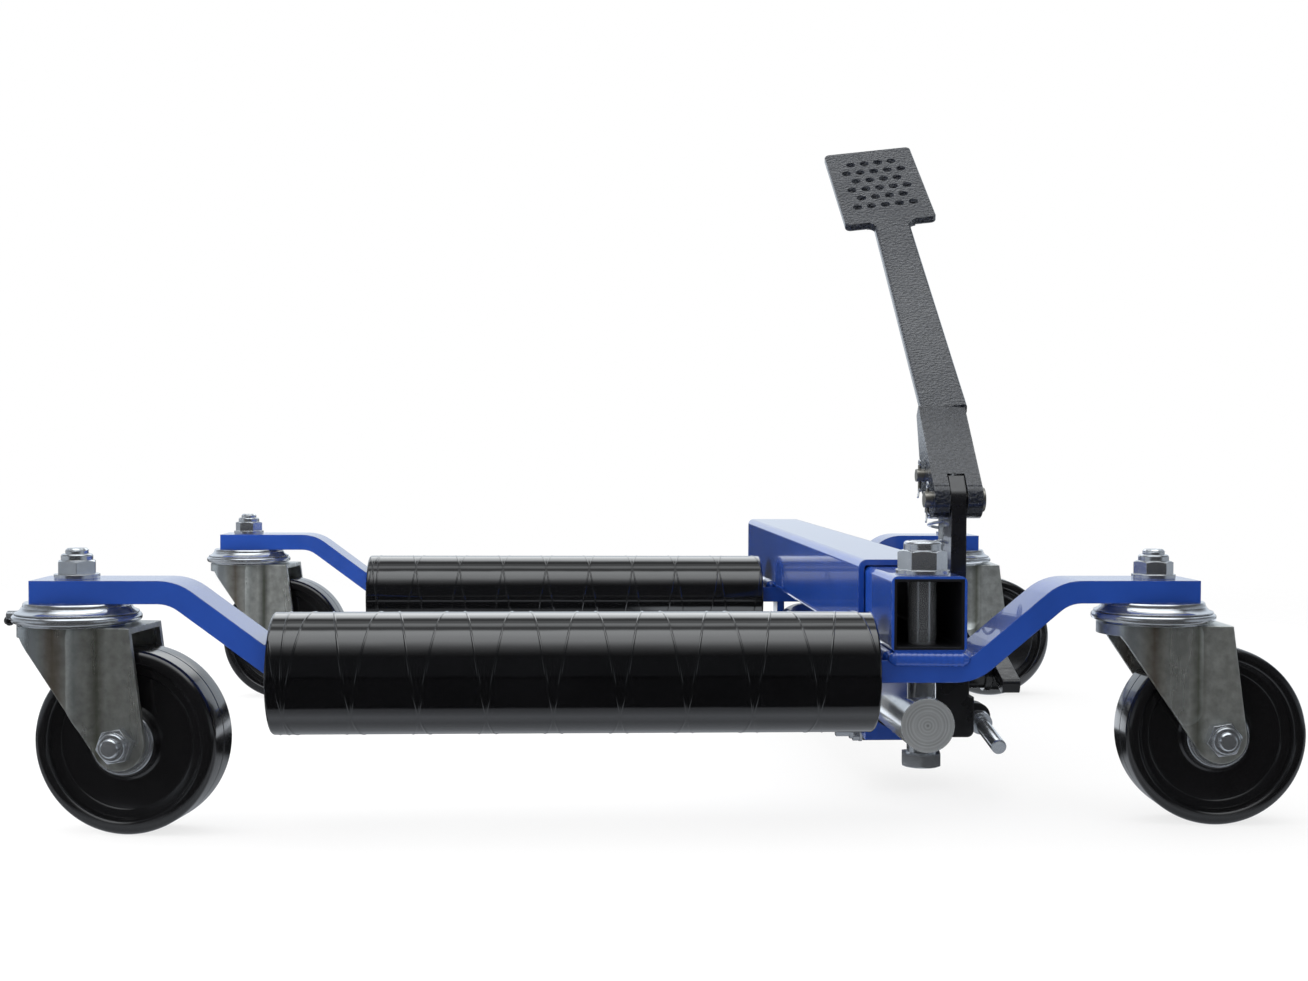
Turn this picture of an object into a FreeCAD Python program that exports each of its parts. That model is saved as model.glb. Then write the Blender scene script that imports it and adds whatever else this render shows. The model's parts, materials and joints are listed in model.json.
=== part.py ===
"""Vehicle positioning jack: a low dolly that squeezes a tyre up between two rollers.

Millimetres, +Z up. X runs along the rollers, the front arm slides along Y.
The construction frame has X = 0 midway along the arms, Y = 0 at the front arm and Z = 0 at the floor.
At the end every piece is moved so that the origin is the bottom centre of the whole part's box.
"""
import FreeCAD
import Part
import math
import os

V = FreeCAD.Vector

# Driving dimensions: arms, two bent flat bars
ARM_WIDTH = 38.0
ARM_THICKNESS = 12.5
ARM_DROP = 43.5
ARM_SPACING = 490.0
ARM_END_FLAT = 75.5
LEFT_SLOPE_RUN = 58.5
RIGHT_SLOPE_RUN = 52.0
TUBE_TO_SLOPE = 24.0
ARM_BEND_RADIUS = 18.0
KINGPIN_INSET = 20.0

# Square tubes: the front arm's tube slides in the frame's tube
OUTER_TUBE_SIZE = 50.0
OUTER_TUBE_WALL = 3.5
OUTER_TUBE_LENGTH = 589.0
OUTER_TUBE_FRONT = 61.0
OUTER_TUBE_CORNER = 5.0
OUTER_TUBE_HOLLOW_CORNER = 2.0
INNER_TUBE_WALL = 3.0
INNER_TUBE_LENGTH = 379.0
INNER_TUBE_CORNER = 3.5
INNER_TUBE_HOLLOW_CORNER = 1.4
SLIDE_CLEARANCE = 0.5

# Rollers turning on the arms
ROLLER_DIAMETER = 67.0
ROLLER_LENGTH = 330.0
ROLLER_SLEEVE = 3.0
ROLLER_EDGE_ROUND = 1.5
ROLLER_TUBE_WALL = 3.0
ROLLER_OVER_SLOPE = 8.0
ROLLER_SAG = 2.3
FRONT_ROLLER_GAP = 3.5
REAR_ROLLER_GAP = 8.5
BUSH_LENGTH = 20.0
BUSH_INSET_LEFT = 24.0
BUSH_INSET_RIGHT = 6.0
BUSH_CLEARANCE = 0.4

# Hydraulic ram under the tubes
ROD_DIAMETER = 30.0
ROD_GAP = 9.0
ROD_OVERHANG = 17.0
CYLINDER_DIAMETER = 46.0
CYLINDER_BORE = 36.0
END_PLUG_LENGTH = 16.0
PISTON_LENGTH = 24.0
PISTON_GROOVE_DEPTH = 3.0
PISTON_GROOVE_WIDTH = 5.0
PISTON_END_GAP = 1.0
OPEN_TRAVEL = 200.0
CLOSE_TRAVEL = 30.0
HEAD_LEFT = 18.5
HEAD_RIGHT = 24.0
HEAD_LENGTH = 68.0
HEAD_TOP_GAP = 7.0
HEAD_BELOW_ROD = 9.5
HEAD_BORE_PLAY = 0.5
GLAND_LENGTH = 20.0
GLAND_WALL = 2.0
BRACKET_SETBACK = 9.0
BRACKET_WEB = 8.0
BRACKET_WEB_PLAY = 1.0
BRACKET_BELOW_ROD = 8.0
CLAMP_STUD = 6.0
CLAMP_STUD_DEPTH = 14.0
CLAMP_STUD_TAIL = 16.0
CLAMP_NUT = 10.0
CLAMP_NUT_HEIGHT = 6.0
CLAMP_WASHER = 12.0
CLAMP_WASHER_THICKNESS = 1.6
CLAMP_FRONT_INSET = 6.0
CLAMP_BACK_INSET = 8.0
CLAMP_TOP_INSET = 5.5
EYE_WIDTH = 26.0
EYE_RADIUS = 14.5
EYE_NECK = 8.0
LUG_THICKNESS = 6.0
LUG_GAP = 0.5
LUG_WIDTH = 26.0
REAR_PIN = 12.0
REAR_PIN_OVERHANG = 6.0
REAR_PIN_HEAD = 19.0
REAR_PIN_HEAD_HEIGHT = 4.0

# Cross bolt that ties the rod to the front arm
ROD_BOLT = 16.0
ROD_BOLT_HEAD = 21.0
ROD_BOLT_HEAD_HEIGHT = 7.5
ROD_BOLT_HEAD_TURN = 20.0
ROD_BOLT_NECK = 2.5
ROD_NUT = 24.0
ROD_NUT_HEIGHT = 16.0
ROD_NUT_TURN = -8.0
ROD_WASHER = 30.0
ROD_WASHER_THICKNESS = 2.5

# Pump body beside the cylinder head, with the fulcrum post and the barrel standing in it
BLOCK_WIDTH = 25.5
BLOCK_LENGTH = 68.0
BLOCK_HEIGHT = 54.5
BLOCK_ROUND = 4.0
BLOCK_STEP_WIDTH = 3.0
BLOCK_STEP_LENGTH = 22.0
BLOCK_STEP_HEIGHT = 30.0
PUMP_OFFSET = 16.0
POST_INSET = 13.0
POST_THICKNESS = 9.5
POST_WIDTH = 20.0
POST_SEAT_DEPTH = 30.0
POST_CAP_GAP = 0.8
POST_CROWN = 11.0
BARREL_DIAMETER = 18.0
BARREL_SEAT_DEPTH = 20.0
BARREL_ABOVE_BLOCK = 40.0
BARREL_FLANGE = 25.0
BARREL_FLANGE_THICKNESS = 4.0

# Plunger and its return spring
PLUNGER_DIAMETER = 9.0
PLUNGER_FOOT_GAP = 1.5
PLUNGER_HEAD_THICKNESS = 9.0
PLUNGER_HEAD_WALL = 2.2
EYE_PLAY = 0.7
CAP_DIAMETER = 26.0
CAP_THICKNESS = 9.0
CAP_CHAMFER = 1.0
CAP_TO_HEAD = 8.6
SPRING_SPACE = 40.0
SPRING_DIAMETER = 23.0
SPRING_WIRE = 2.0
SPRING_PITCH = 11.6
SPRING_END_PITCH = 2.7
SPRING_FOOT_GAP = 0.1
SPRING_TOP_GAP = 0.4
SPRING_SAMPLES = 400

# Foot lever with its two pins
PIVOT_PIN = 10.0
PLUNGER_PIN = 8.0
PLUNGER_PIN_UP = 14.5
PEDAL_TRAVEL = 38.0
LEVER_CHEEK = 9.5
LEVER_SLOT_GAP = 0.75
LEVER_POST_GAP = 2.0
LEVER_CROWN_GAP = 6.0
LEVER_HEAD_GAP = 2.6
LEVER_CAP_GAP = 0.7
CAP_ROOM_STEPS = 4
LEVER_PIVOT_RADIUS = 11.5
LEVER_HEEL_RADIUS = 11.0
LEVER_BEND_BACK = 39.0
LEVER_BEND_UP = 58.5
LEVER_LEAN = 51.0
LEVER_TWIST = 6.5
LEVER_ARM_LENGTH = 226.0
LEVER_ARM_WIDTH = 29.5
LEVER_ARM_TAPER = 3.5
LEVER_ARM_SHIFT = 1.7
LEVER_ARM_THICKNESS = 8.0
LEVER_ARM_ROUND = 2.0
PAD_LENGTH = 107.0
PAD_WIDTH = 68.0
PAD_THICKNESS = 6.0
PAD_CORNER = 4.0
PAD_ROOT_ROUND = 5.0
PAD_SKEW = 2.0
PAD_EDGE_ROUND = 1.5
DIMPLE_DIAMETER = 7.4
DIMPLE_FLOOR = 1.6
DIMPLE_DEPTH = 3.0
DIMPLE_PITCH_ACROSS = 10.6
DIMPLE_PITCH_ALONG = 12.6
DIMPLE_TOP_MARGIN = 20.0
DIMPLE_ROWS = (4, 5, 4, 5, 4, 5)
PIN_OVERHANG = 4.5
PIN_HEAD_RIM = 2.5
PIN_HEAD_HEIGHT = 2.5
COTTER_WIRE = 2.0
COTTER_LENGTH = 17.0
COTTER_BELOW = 10.5

# Release valve, its foot lever and the collared spindle
VALVE_INSET = 46.0
VALVE_ABOVE_BLOCK_FLOOR = 33.5
VALVE_DIAMETER = 20.0
VALVE_LENGTH = 20.5
VALVE_COLLAR = 23.0
VALVE_COLLAR_LENGTH = 4.0
RELEASE_SHAFT = 8.0
RELEASE_SHAFT_DEPTH = 15.0
RELEASE_SHAFT_TIP = 2.0
RELEASE_SHAFT_END_GAP = 1.0
RELEASE_HUB = 22.0
RELEASE_WIDTH = 11.0
RELEASE_GAP = 0.6
RELEASE_REACH = 33.0
RELEASE_ARM_THICKNESS = 9.0
RELEASE_ARM_ROUND = 2.5
RELEASE_ARM_SLOPE = 20.0
SPINDLE_OFFSET = 8.5
SPINDLE_DIAMETER = 9.0
SPINDLE_TIP_CHAMFER = 0.8
SPINDLE_COLLAR = 14.0
SPINDLE_COLLAR_LENGTH = 6.0
SPINDLE_COLLAR_INSET = 18.0
SPINDLE_COLLAR_ABOVE_BLOCK_FLOOR = 6.2
SPINDLE_NOSE = 46.0
SPINDLE_TAIL = 16.0
SPINDLE_DROOP = 9.4
SPINDLE_LUG_WALL = 4.0
SPINDLE_LUG_LENGTH = 11.0
SPINDLE_LUG_GAP = 5.0

# Casters
WHEEL_DIAMETER = 100.0
WHEEL_WIDTH = 32.0
WHEEL_TREAD_ROUND = 4.5
WHEEL_RIM = 7.0
WHEEL_RECESS = 4.5
WHEEL_RECESS_BEVEL = 2.0
HUB_DIAMETER = 36.0
HUB_WIDTH = 35.0
CASTER_HEIGHT = 124.0
CASTER_TRAIL = 32.0
CASTER_TURN = {"front_left": -8.0, "front_right": -4.0, "rear_left": -6.0, "rear_right": -4.0}
NIPPLE_TURN = {"front_left": 0.0, "front_right": -90.0, "rear_left": -90.0, "rear_right": -90.0}
FORK_SHEET = 3.0
FORK_INSIDE = 39.0
FORK_TOP_GAP = 12.2
FORK_DISH = 62.0
FORK_CORNER = 8.0
FORK_SLANT_START = 23.0
FORK_BACK = 38.0
FORK_LIP = 6.0
FORK_FOOT_RADIUS = 14.0
FORK_RIB_RADIUS = 24.0
FORK_RIB_HEIGHT = 1.8
FORK_RIB_X = 12.5
FORK_RIB_FOOT = 16.0
FORK_RIB_TOP = 5.0
RING_DIAMETER = 68.0
RING_THICKNESS = 4.6
RING_ROUND = 2.0
RING_BOSS = 58.0
RING_BOSS_HEIGHT = 1.3
RACE_DIAMETER = 47.0
RACE_GAP = 0.3
SWIVEL_FIT = 0.1
NIPPLE_DIAMETER = 6.0
NIPPLE_LENGTH = 5.0
NIPPLE_ROOT = 2.0
NIPPLE_HOLE = 3.0
KINGPIN = 12.0
KINGPIN_HEAD = 19.0
KINGPIN_HEAD_HEIGHT = 7.5
KINGPIN_NUT = 19.0
KINGPIN_NUT_HEIGHT = 11.0
KINGPIN_NUT_TURNS = {"front": (44.0, -10.0), "rear": (-1.0, 22.0)}
KINGPIN_WASHER = 24.0
KINGPIN_WASHER_THICKNESS = 2.5
KINGPIN_TIP = 3.0
AXLE = 10.0
AXLE_NUT = 17.0
AXLE_NUT_HEIGHT = 10.0
AXLE_NUT_TURN = 10.0
AXLE_HEAD_HEIGHT = 6.4
AXLE_TIP = 2.5
GUARD_DIAMETER = 32.0
GUARD_THICKNESS = 1.5

# Weld beads, fits and the shares of a lock nut
WELD_LEG = 7.0
WELD_BEAD = 6.4
RUNNING_FIT = 0.05
SEAT_FIT = 0.02
BOLT_PLAY = 0.25
NUT_HEX_SHARE = 0.68
NUT_COLLAR_SHARE = 0.88
NUT_ROUND_SHARE = 0.12
TIP_CHAMFER_SHARE = 0.08
CUT_PAST = 1.0

# Places along X, with X = 0 midway between the ends of the arms
roller_end_from_tube = OUTER_TUBE_SIZE / 2 + FRONT_ROLLER_GAP
low_left_from_tube = roller_end_from_tube + ROLLER_LENGTH - ROLLER_OVER_SLOPE
arm_left_from_tube = low_left_from_tube + LEFT_SLOPE_RUN + ARM_END_FLAT
arm_right_from_tube = TUBE_TO_SLOPE + RIGHT_SLOPE_RUN + ARM_END_FLAT
arm_half = (arm_left_from_tube + arm_right_from_tube) / 2
tube_x = arm_half - arm_right_from_tube
kingpin_x = arm_half - KINGPIN_INSET
front_roller_left = tube_x - roller_end_from_tube - ROLLER_LENGTH
rear_roller_left = tube_x - OUTER_TUBE_SIZE / 2 - REAR_ROLLER_GAP - ROLLER_LENGTH

# Heights of the arms, tubes and rollers
arm_low_bottom = CASTER_HEIGHT - ARM_DROP
arm_low_top = arm_low_bottom + ARM_THICKNESS
arm_low_axis = (arm_low_bottom + arm_low_top) / 2
arm_high_top = CASTER_HEIGHT + ARM_THICKNESS
arm_high_axis = CASTER_HEIGHT + ARM_THICKNESS / 2
tube_axis_z = arm_low_top + OUTER_TUBE_SIZE / 2
inner_tube_size = OUTER_TUBE_SIZE - 2 * OUTER_TUBE_WALL - 2 * SLIDE_CLEARANCE
inner_tube_bottom = tube_axis_z - inner_tube_size / 2
inner_tube_top = tube_axis_z + inner_tube_size / 2
arm_front_y = -ARM_WIDTH / 2
roller_z = arm_low_axis - ROLLER_SAG
roller_tube_radius = ROLLER_DIAMETER / 2 - ROLLER_SLEEVE
bush_radius = roller_tube_radius - ROLLER_TUBE_WALL
bush_bore_radius = math.hypot(ARM_WIDTH / 2, ARM_THICKNESS / 2 + ROLLER_SAG) + BUSH_CLEARANCE

# Stations of the ram along Y
rod_z = arm_low_bottom - ROD_GAP - ROD_DIAMETER / 2
head_bore_radius = ROD_DIAMETER / 2 + HEAD_BORE_PLAY
web_front = OUTER_TUBE_FRONT + BRACKET_SETBACK
web_back = web_front + BRACKET_WEB
head_back = web_back + HEAD_LENGTH
head_top = arm_low_top - HEAD_TOP_GAP
head_bottom = rod_z - ROD_DIAMETER / 2 - HEAD_BELOW_ROD
head_left = tube_x - HEAD_LEFT
head_right = tube_x + HEAD_RIGHT
bracket_bottom = rod_z - ROD_DIAMETER / 2 - BRACKET_BELOW_ROD
cylinder_back = ARM_SPACING - LUG_WIDTH / 2 - EYE_NECK
piston_front = head_back + OPEN_TRAVEL + PISTON_END_GAP
clamp_places = (
    (web_back + CLAMP_FRONT_INSET, (head_bottom + rod_z - head_bore_radius) / 2),
    (head_back - CLAMP_BACK_INSET, head_top - CLAMP_TOP_INSET),
)

# Stations of the pump block, with what stands in it
block_left = head_right
block_right = block_left + BLOCK_WIDTH
block_front = web_back
block_back = block_front + BLOCK_LENGTH
block_top = bracket_bottom + BLOCK_HEIGHT
pump_x = block_left + PUMP_OFFSET
pivot_y = block_front + POST_INSET
pivot_radius = max(POST_WIDTH / 2, LEVER_PIVOT_RADIUS)
plunger_from_pivot = pivot_radius + POST_CAP_GAP + max(CAP_DIAMETER, BARREL_FLANGE) / 2
plunger_y = pivot_y + plunger_from_pivot
spring_seat_z = block_top + BARREL_ABOVE_BLOCK
cap_z = spring_seat_z + SPRING_SPACE
plunger_neck_z = cap_z + CAP_THICKNESS + CAP_TO_HEAD
plunger_foot_z = block_top - BARREL_SEAT_DEPTH + PLUNGER_FOOT_GAP

# The lever's pin swings on an arc, half of its sway to each side of the plunger's line
plunger_pin_back = plunger_from_pivot - PLUNGER_PIN_UP ** 2 / (4 * plunger_from_pivot)
plunger_pin_y = pivot_y + plunger_pin_back
plunger_pin_z = plunger_neck_z + PLUNGER_HEAD_WALL + EYE_PLAY + PLUNGER_PIN / 2
pivot_z = plunger_pin_z - PLUNGER_PIN_UP
pin_arm = math.hypot(plunger_pin_back, PLUNGER_PIN_UP)
pin_angle = math.atan2(PLUNGER_PIN_UP, plunger_pin_back)
pedal_travel = math.radians(PEDAL_TRAVEL)
plunger_stroke = pin_arm * (math.sin(pin_angle) - math.sin(pin_angle - pedal_travel))
pin_sway = pin_arm - plunger_pin_back
lever_slot_width = POST_THICKNESS + 2 * LEVER_SLOT_GAP
lever_width = lever_slot_width + 2 * LEVER_CHEEK
bend_y = pivot_y + LEVER_BEND_BACK
bend_z = pivot_z + LEVER_BEND_UP

# Stations of the release valve and the spindle
valve_y = block_front + VALVE_INSET
valve_z = bracket_bottom + VALVE_ABOVE_BLOCK_FLOOR
release_left = block_right + VALVE_LENGTH + RELEASE_GAP
spindle_x = block_right + SPINDLE_OFFSET
spindle_collar_y = block_front + SPINDLE_COLLAR_INSET
spindle_collar_z = bracket_bottom + SPINDLE_COLLAR_ABOVE_BLOCK_FLOOR
spindle_droop = math.radians(SPINDLE_DROOP)

# Stations of a caster, measured from its kingpin and the floor
axle_z = WHEEL_DIAMETER / 2
fork_top = CASTER_HEIGHT - FORK_TOP_GAP
fork_half = FORK_INSIDE / 2 + FORK_SHEET
ring_foot = fork_top + RING_BOSS_HEIGHT
ring_top = ring_foot + RING_THICKNESS
caster_places = {
    "front_left": (-kingpin_x, 0.0),
    "front_right": (kingpin_x, 0.0),
    "rear_left": (-kingpin_x, ARM_SPACING),
    "rear_right": (kingpin_x, ARM_SPACING),
}


def box(x0, x1, y0, y1, z0, z1):
    """A block between two corners."""
    return Part.makeBox(x1 - x0, y1 - y0, z1 - z0, V(x0, y0, z0))


def rod(base, direction, radius, length):
    """A round bar from a point along a direction."""
    return Part.makeCylinder(radius, length, V(*base), V(*direction))


def ring(base, direction, outer_radius, inner_radius, length):
    """A round tube from a point along a direction."""
    return rod(base, direction, outer_radius, length).cut(rod(base, direction, inner_radius, length))


def prism_yz(points, x0, x1):
    """A closed outline in the YZ plane, carried along X."""
    corners = [V(x0, y, z) for y, z in points]
    return Part.Face(Part.makePolygon(corners + corners[:1])).extrude(V(x1 - x0, 0, 0))


def prism_xz(points, y0, y1):
    """A closed outline in the XZ plane, carried along Y."""
    corners = [V(x, y0, z) for x, z in points]
    return Part.Face(Part.makePolygon(corners + corners[:1])).extrude(V(0, y1 - y0, 0))


def hexagon(across_flats, height, turn=0.0):
    """A hexagonal bar standing on the origin, with its top corners turned off."""
    corner = across_flats / math.sqrt(3)
    points = []
    for side in range(7):
        angle = math.radians(60 * side + turn)
        points.append(V(corner * math.cos(angle), corner * math.sin(angle), 0))
    bar = Part.Face(Part.makePolygon(points)).extrude(V(0, 0, height))
    narrow = across_flats * 0.485
    rise = (corner - narrow) / 2
    turned = Part.makeCylinder(corner * 1.01, height - rise)
    turned = turned.fuse(Part.makeCone(corner * 1.01, narrow, rise, V(0, 0, height - rise)))
    return bar.common(turned)


def lock_nut(across_flats, height, bore, turn=0.0):
    """A self-locking nut: hexagon below, round collar with a soft edge above."""
    collar = Part.makeCylinder(across_flats / 2 * NUT_COLLAR_SHARE, height)
    collar = collar.makeFillet(height * NUT_ROUND_SHARE, [edge_at(collar, height)])
    nut = hexagon(across_flats, height * NUT_HEX_SHARE, turn).fuse(collar)
    return nut.cut(Part.makeCylinder(bore / 2 + SEAT_FIT, height + CUT_PAST)).removeSplitter()


def edge_at(shape, z):
    """The round edge that lies at a height."""
    for edge in shape.Edges:
        box_of_edge = edge.BoundBox
        if abs(box_of_edge.ZMin - z) < 1e-6 and abs(box_of_edge.ZMax - z) < 1e-6:
            return edge
    raise ValueError("no edge at that height")


def stud(diameter, length):
    """A round bar standing on the origin with a chamfered tip."""
    bar = Part.makeCylinder(diameter / 2, length)
    return bar.makeChamfer(diameter * TIP_CHAMFER_SHARE, [edge_at(bar, length)])


def bolt(diameter, length, across_flats, head_height, turn=0.0):
    """A hexagon bolt: head under the origin, shank upwards with a chamfered tip."""
    head = hexagon(across_flats, head_height, turn)
    head = head.mirror(V(0, 0, 0), V(0, 0, 1))
    return stud(diameter, length).fuse(head).removeSplitter()


def placed(shape, base, direction=(0, 0, 1)):
    """A copy moved to a point with its Z axis turned to a direction."""
    copy = shape.copy()
    turn = FreeCAD.Rotation(V(0, 0, 1), V(*direction))
    copy.Placement = FreeCAD.Placement(V(*base), turn).multiply(copy.Placement)
    return copy


def edges_along(shape, direction, keep):
    """Straight edges parallel to a direction whose middle passes a test."""
    found = []
    axis = V(*direction)
    for edge in shape.Edges:
        if len(edge.Vertexes) != 2:
            continue
        run = edge.Vertexes[1].Point - edge.Vertexes[0].Point
        if run.Length < 1e-6 or abs(abs(run.normalize().dot(axis)) - 1) > 1e-6:
            continue
        if keep(edge.CenterOfMass):
            found.append(edge)
    return found


def every(point):
    """The test that every edge passes."""
    return True


def square_bar(half, corner, y0, y1):
    """A square bar with rounded corners along Y, round the tube axis."""
    bar = box(tube_x - half, tube_x + half, y0, y1, tube_axis_z - half, tube_axis_z + half)
    return bar.makeFillet(corner, edges_along(bar, (0, 1, 0), every))


def bolt_hole(x, y, z0, z1, diameter):
    """The clearance hole of an upright bolt through everything between two heights."""
    return rod((x, y, z0 - CUT_PAST), (0, 0, 1), diameter / 2 + BOLT_PLAY, z1 - z0 + 2 * CUT_PAST)


def arm_bar(y_centre):
    """A bent flat bar: raised ends for the casters and a low middle for the roller."""
    middle = [
        (-arm_half, arm_high_axis),
        (-arm_half + ARM_END_FLAT, arm_high_axis),
        (-arm_half + ARM_END_FLAT + LEFT_SLOPE_RUN, arm_low_axis),
        (arm_half - ARM_END_FLAT - RIGHT_SLOPE_RUN, arm_low_axis),
        (arm_half - ARM_END_FLAT, arm_high_axis),
        (arm_half, arm_high_axis),
    ]
    angles = [math.atan2(b[1] - a[1], b[0] - a[0]) for a, b in zip(middle, middle[1:])]
    angles = [angles[0]] + angles + [angles[-1]]
    upper = []
    lower = []
    for (x, z), before, after in zip(middle, angles, angles[1:]):
        mean = (before + after) / 2
        reach = ARM_THICKNESS / 2 / math.cos((after - before) / 2)
        upper.append((x - reach * math.sin(mean), z + reach * math.cos(mean)))
        lower.append((x + reach * math.sin(mean), z - reach * math.cos(mean)))
    bar = prism_xz(upper + lower[::-1], y_centre - ARM_WIDTH / 2, y_centre + ARM_WIDTH / 2)
    outer_radius = ARM_BEND_RADIUS + ARM_THICKNESS
    bends = ((upper[1], lower[1]), (lower[2], upper[2]), (lower[3], upper[3]), (upper[4], lower[4]))
    for outside, inside in bends:
        for (x, z), radius in ((outside, outer_radius), (inside, ARM_BEND_RADIUS)):
            corner = edges_along(bar, (0, 1, 0), lambda p: math.hypot(p.x - x, p.z - z) < 0.5)
            bar = bar.makeFillet(radius, corner)
    for side in (-1, 1):
        bar = bar.cut(bolt_hole(side * kingpin_x, y_centre, CASTER_HEIGHT, arm_high_top, KINGPIN))
    return bar


def rear_arm():
    """The fixed arm, ground flat where the frame's tube is welded to it."""
    front = ARM_SPACING - ARM_WIDTH
    return arm_bar(ARM_SPACING).cut(
        square_bar(OUTER_TUBE_SIZE / 2, OUTER_TUBE_CORNER, front, front + 2 * ARM_WIDTH))


def packing_block():
    """The packing between the front arm and the smaller tube, before it is fitted and drilled."""
    half = inner_tube_size / 2 - INNER_TUBE_CORNER
    return box(tube_x - half, tube_x + half, arm_front_y, -arm_front_y, arm_low_top, inner_tube_bottom)


def front_arm():
    """The sliding arm, ground flat under the packing and drilled for the bolt of the ram's rod."""
    arm = arm_bar(0).cut(packing_block())
    return arm.cut(bolt_hole(tube_x, 0, arm_low_bottom, arm_low_top, ROD_BOLT))


def packing_plate():
    """The flat plate between the front arm and the smaller tube that stands on it."""
    return packing_block().cut(bolt_hole(tube_x, 0, arm_low_top, inner_tube_bottom, ROD_BOLT))


def inner_tube():
    """The sliding tube, open at its front end and drilled for the rod's bolt."""
    back = arm_front_y + INNER_TUBE_LENGTH
    half = inner_tube_size / 2
    tube = square_bar(half, INNER_TUBE_CORNER, arm_front_y, back)
    tube = tube.cut(square_bar(half - INNER_TUBE_WALL, INNER_TUBE_HOLLOW_CORNER, arm_front_y, back))
    return tube.cut(bolt_hole(tube_x, 0, inner_tube_bottom, inner_tube_top, ROD_BOLT))


def outer_tube():
    """The fixed tube that carries the rear arm and the pump."""
    back = OUTER_TUBE_FRONT + OUTER_TUBE_LENGTH
    half = OUTER_TUBE_SIZE / 2
    tube = square_bar(half, OUTER_TUBE_CORNER, OUTER_TUBE_FRONT, back)
    return tube.cut(square_bar(half - OUTER_TUBE_WALL, OUTER_TUBE_HOLLOW_CORNER, OUTER_TUBE_FRONT, back))


def side_welds(tube_size, y_centre, arm):
    """Two fillet welds where a tube's sides stand over an arm."""
    beads = []
    for side in (-1, 1):
        foot = tube_x + side * tube_size / 2
        outline = [
            (foot, arm_low_top),
            (foot + side * WELD_LEG, arm_low_top),
            (foot, arm_low_top + WELD_LEG),
        ]
        bead = prism_xz(outline, y_centre - ARM_WIDTH / 2, y_centre + ARM_WIDTH / 2)
        beads += bead.cut(arm).Solids
    return beads


def front_arm_welds():
    """The welds of the sliding tube, with the bead that shows across its front."""
    length = inner_tube_size - 2 * INNER_TUBE_CORNER
    bead = rod((tube_x - length / 2, arm_front_y, arm_low_top), (1, 0, 0), WELD_BEAD / 2, length)
    behind = box(tube_x - length, tube_x + length, arm_front_y, arm_front_y + WELD_BEAD,
                 arm_low_top - WELD_BEAD, arm_low_top + WELD_BEAD)
    return Part.makeCompound(side_welds(inner_tube_size, 0, arm_bar(0)) + [bead.cut(behind)])


def rear_arm_welds():
    """The welds of the fixed tube on the rear arm."""
    return Part.makeCompound(side_welds(OUTER_TUBE_SIZE, ARM_SPACING, rear_arm()))


def roller_tube(left, y_centre):
    """The steel core of a roller."""
    return ring((left, y_centre, roller_z), (1, 0, 0), roller_tube_radius, bush_radius, ROLLER_LENGTH)


def roller_sleeve(left, y_centre):
    """The black sleeve over a roller's core."""
    sleeve = ring((left, y_centre, roller_z), (1, 0, 0), ROLLER_DIAMETER / 2,
                  roller_tube_radius + SEAT_FIT, ROLLER_LENGTH)
    rims = [edge for edge in sleeve.Edges
            if edge.BoundBox.XLength < 1e-6 and edge.BoundBox.ZLength > ROLLER_DIAMETER - 0.1]
    return sleeve.makeFillet(min(ROLLER_EDGE_ROUND, ROLLER_SLEEVE * 0.8), rims)


def roller_bushes(left, y_centre):
    """Two nylon bushes that hang on the flat bar's upper corners."""
    right = left + ROLLER_LENGTH - BUSH_INSET_RIGHT - BUSH_LENGTH
    return Part.makeCompound([
        ring((x, y_centre, roller_z), (1, 0, 0), bush_radius - SEAT_FIT, bush_bore_radius, BUSH_LENGTH)
        for x in (left + BUSH_INSET_LEFT, right)])


def ram_rod():
    """The bright rod of the ram, drilled near its end for the cross bolt."""
    bar = rod((tube_x, -ROD_OVERHANG, rod_z), (0, 1, 0), ROD_DIAMETER / 2, ROD_OVERHANG + piston_front)
    return bar.cut(bolt_hole(tube_x, 0, rod_z - ROD_DIAMETER / 2, rod_z + ROD_DIAMETER / 2, ROD_BOLT))


def piston():
    """The piston on the rod's inner end, with a groove for its seal."""
    body = rod((tube_x, piston_front, rod_z), (0, 1, 0), CYLINDER_BORE / 2 - RUNNING_FIT, PISTON_LENGTH)
    groove_y = piston_front + (PISTON_LENGTH - PISTON_GROOVE_WIDTH) / 2
    groove = ring((tube_x, groove_y, rod_z), (0, 1, 0), CYLINDER_BORE / 2,
                  CYLINDER_BORE / 2 - PISTON_GROOVE_DEPTH, PISTON_GROOVE_WIDTH)
    return body.cut(groove)


def ram_bracket():
    """The plate under the fixed tube's front end, with the hole that the rod passes through."""
    plate = box(head_left, head_right, web_front, web_back, bracket_bottom, arm_low_top)
    return plate.cut(rod((tube_x, web_front - CUT_PAST, rod_z), (0, 1, 0),
                         ROD_DIAMETER / 2 + BRACKET_WEB_PLAY, BRACKET_WEB + 2 * CUT_PAST))


def cylinder_head():
    """The block behind the bracket that closes the cylinder's front end round the rod."""
    block = box(head_left, head_right, web_back, head_back, head_bottom, head_top)
    block = block.cut(rod((tube_x, web_back - CUT_PAST, rod_z), (0, 1, 0), head_bore_radius,
                          HEAD_LENGTH + 2 * CUT_PAST))
    block = block.cut(rod((tube_x, head_back - GLAND_LENGTH, rod_z), (0, 1, 0),
                          ROD_DIAMETER / 2 + GLAND_WALL + SEAT_FIT, GLAND_LENGTH + CUT_PAST))
    for y, z in clamp_places:
        block = block.cut(rod((head_left - CUT_PAST, y, z), (1, 0, 0), CLAMP_STUD / 2 + BOLT_PLAY,
                              head_right - head_left + 2 * CUT_PAST))
    return block


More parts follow.
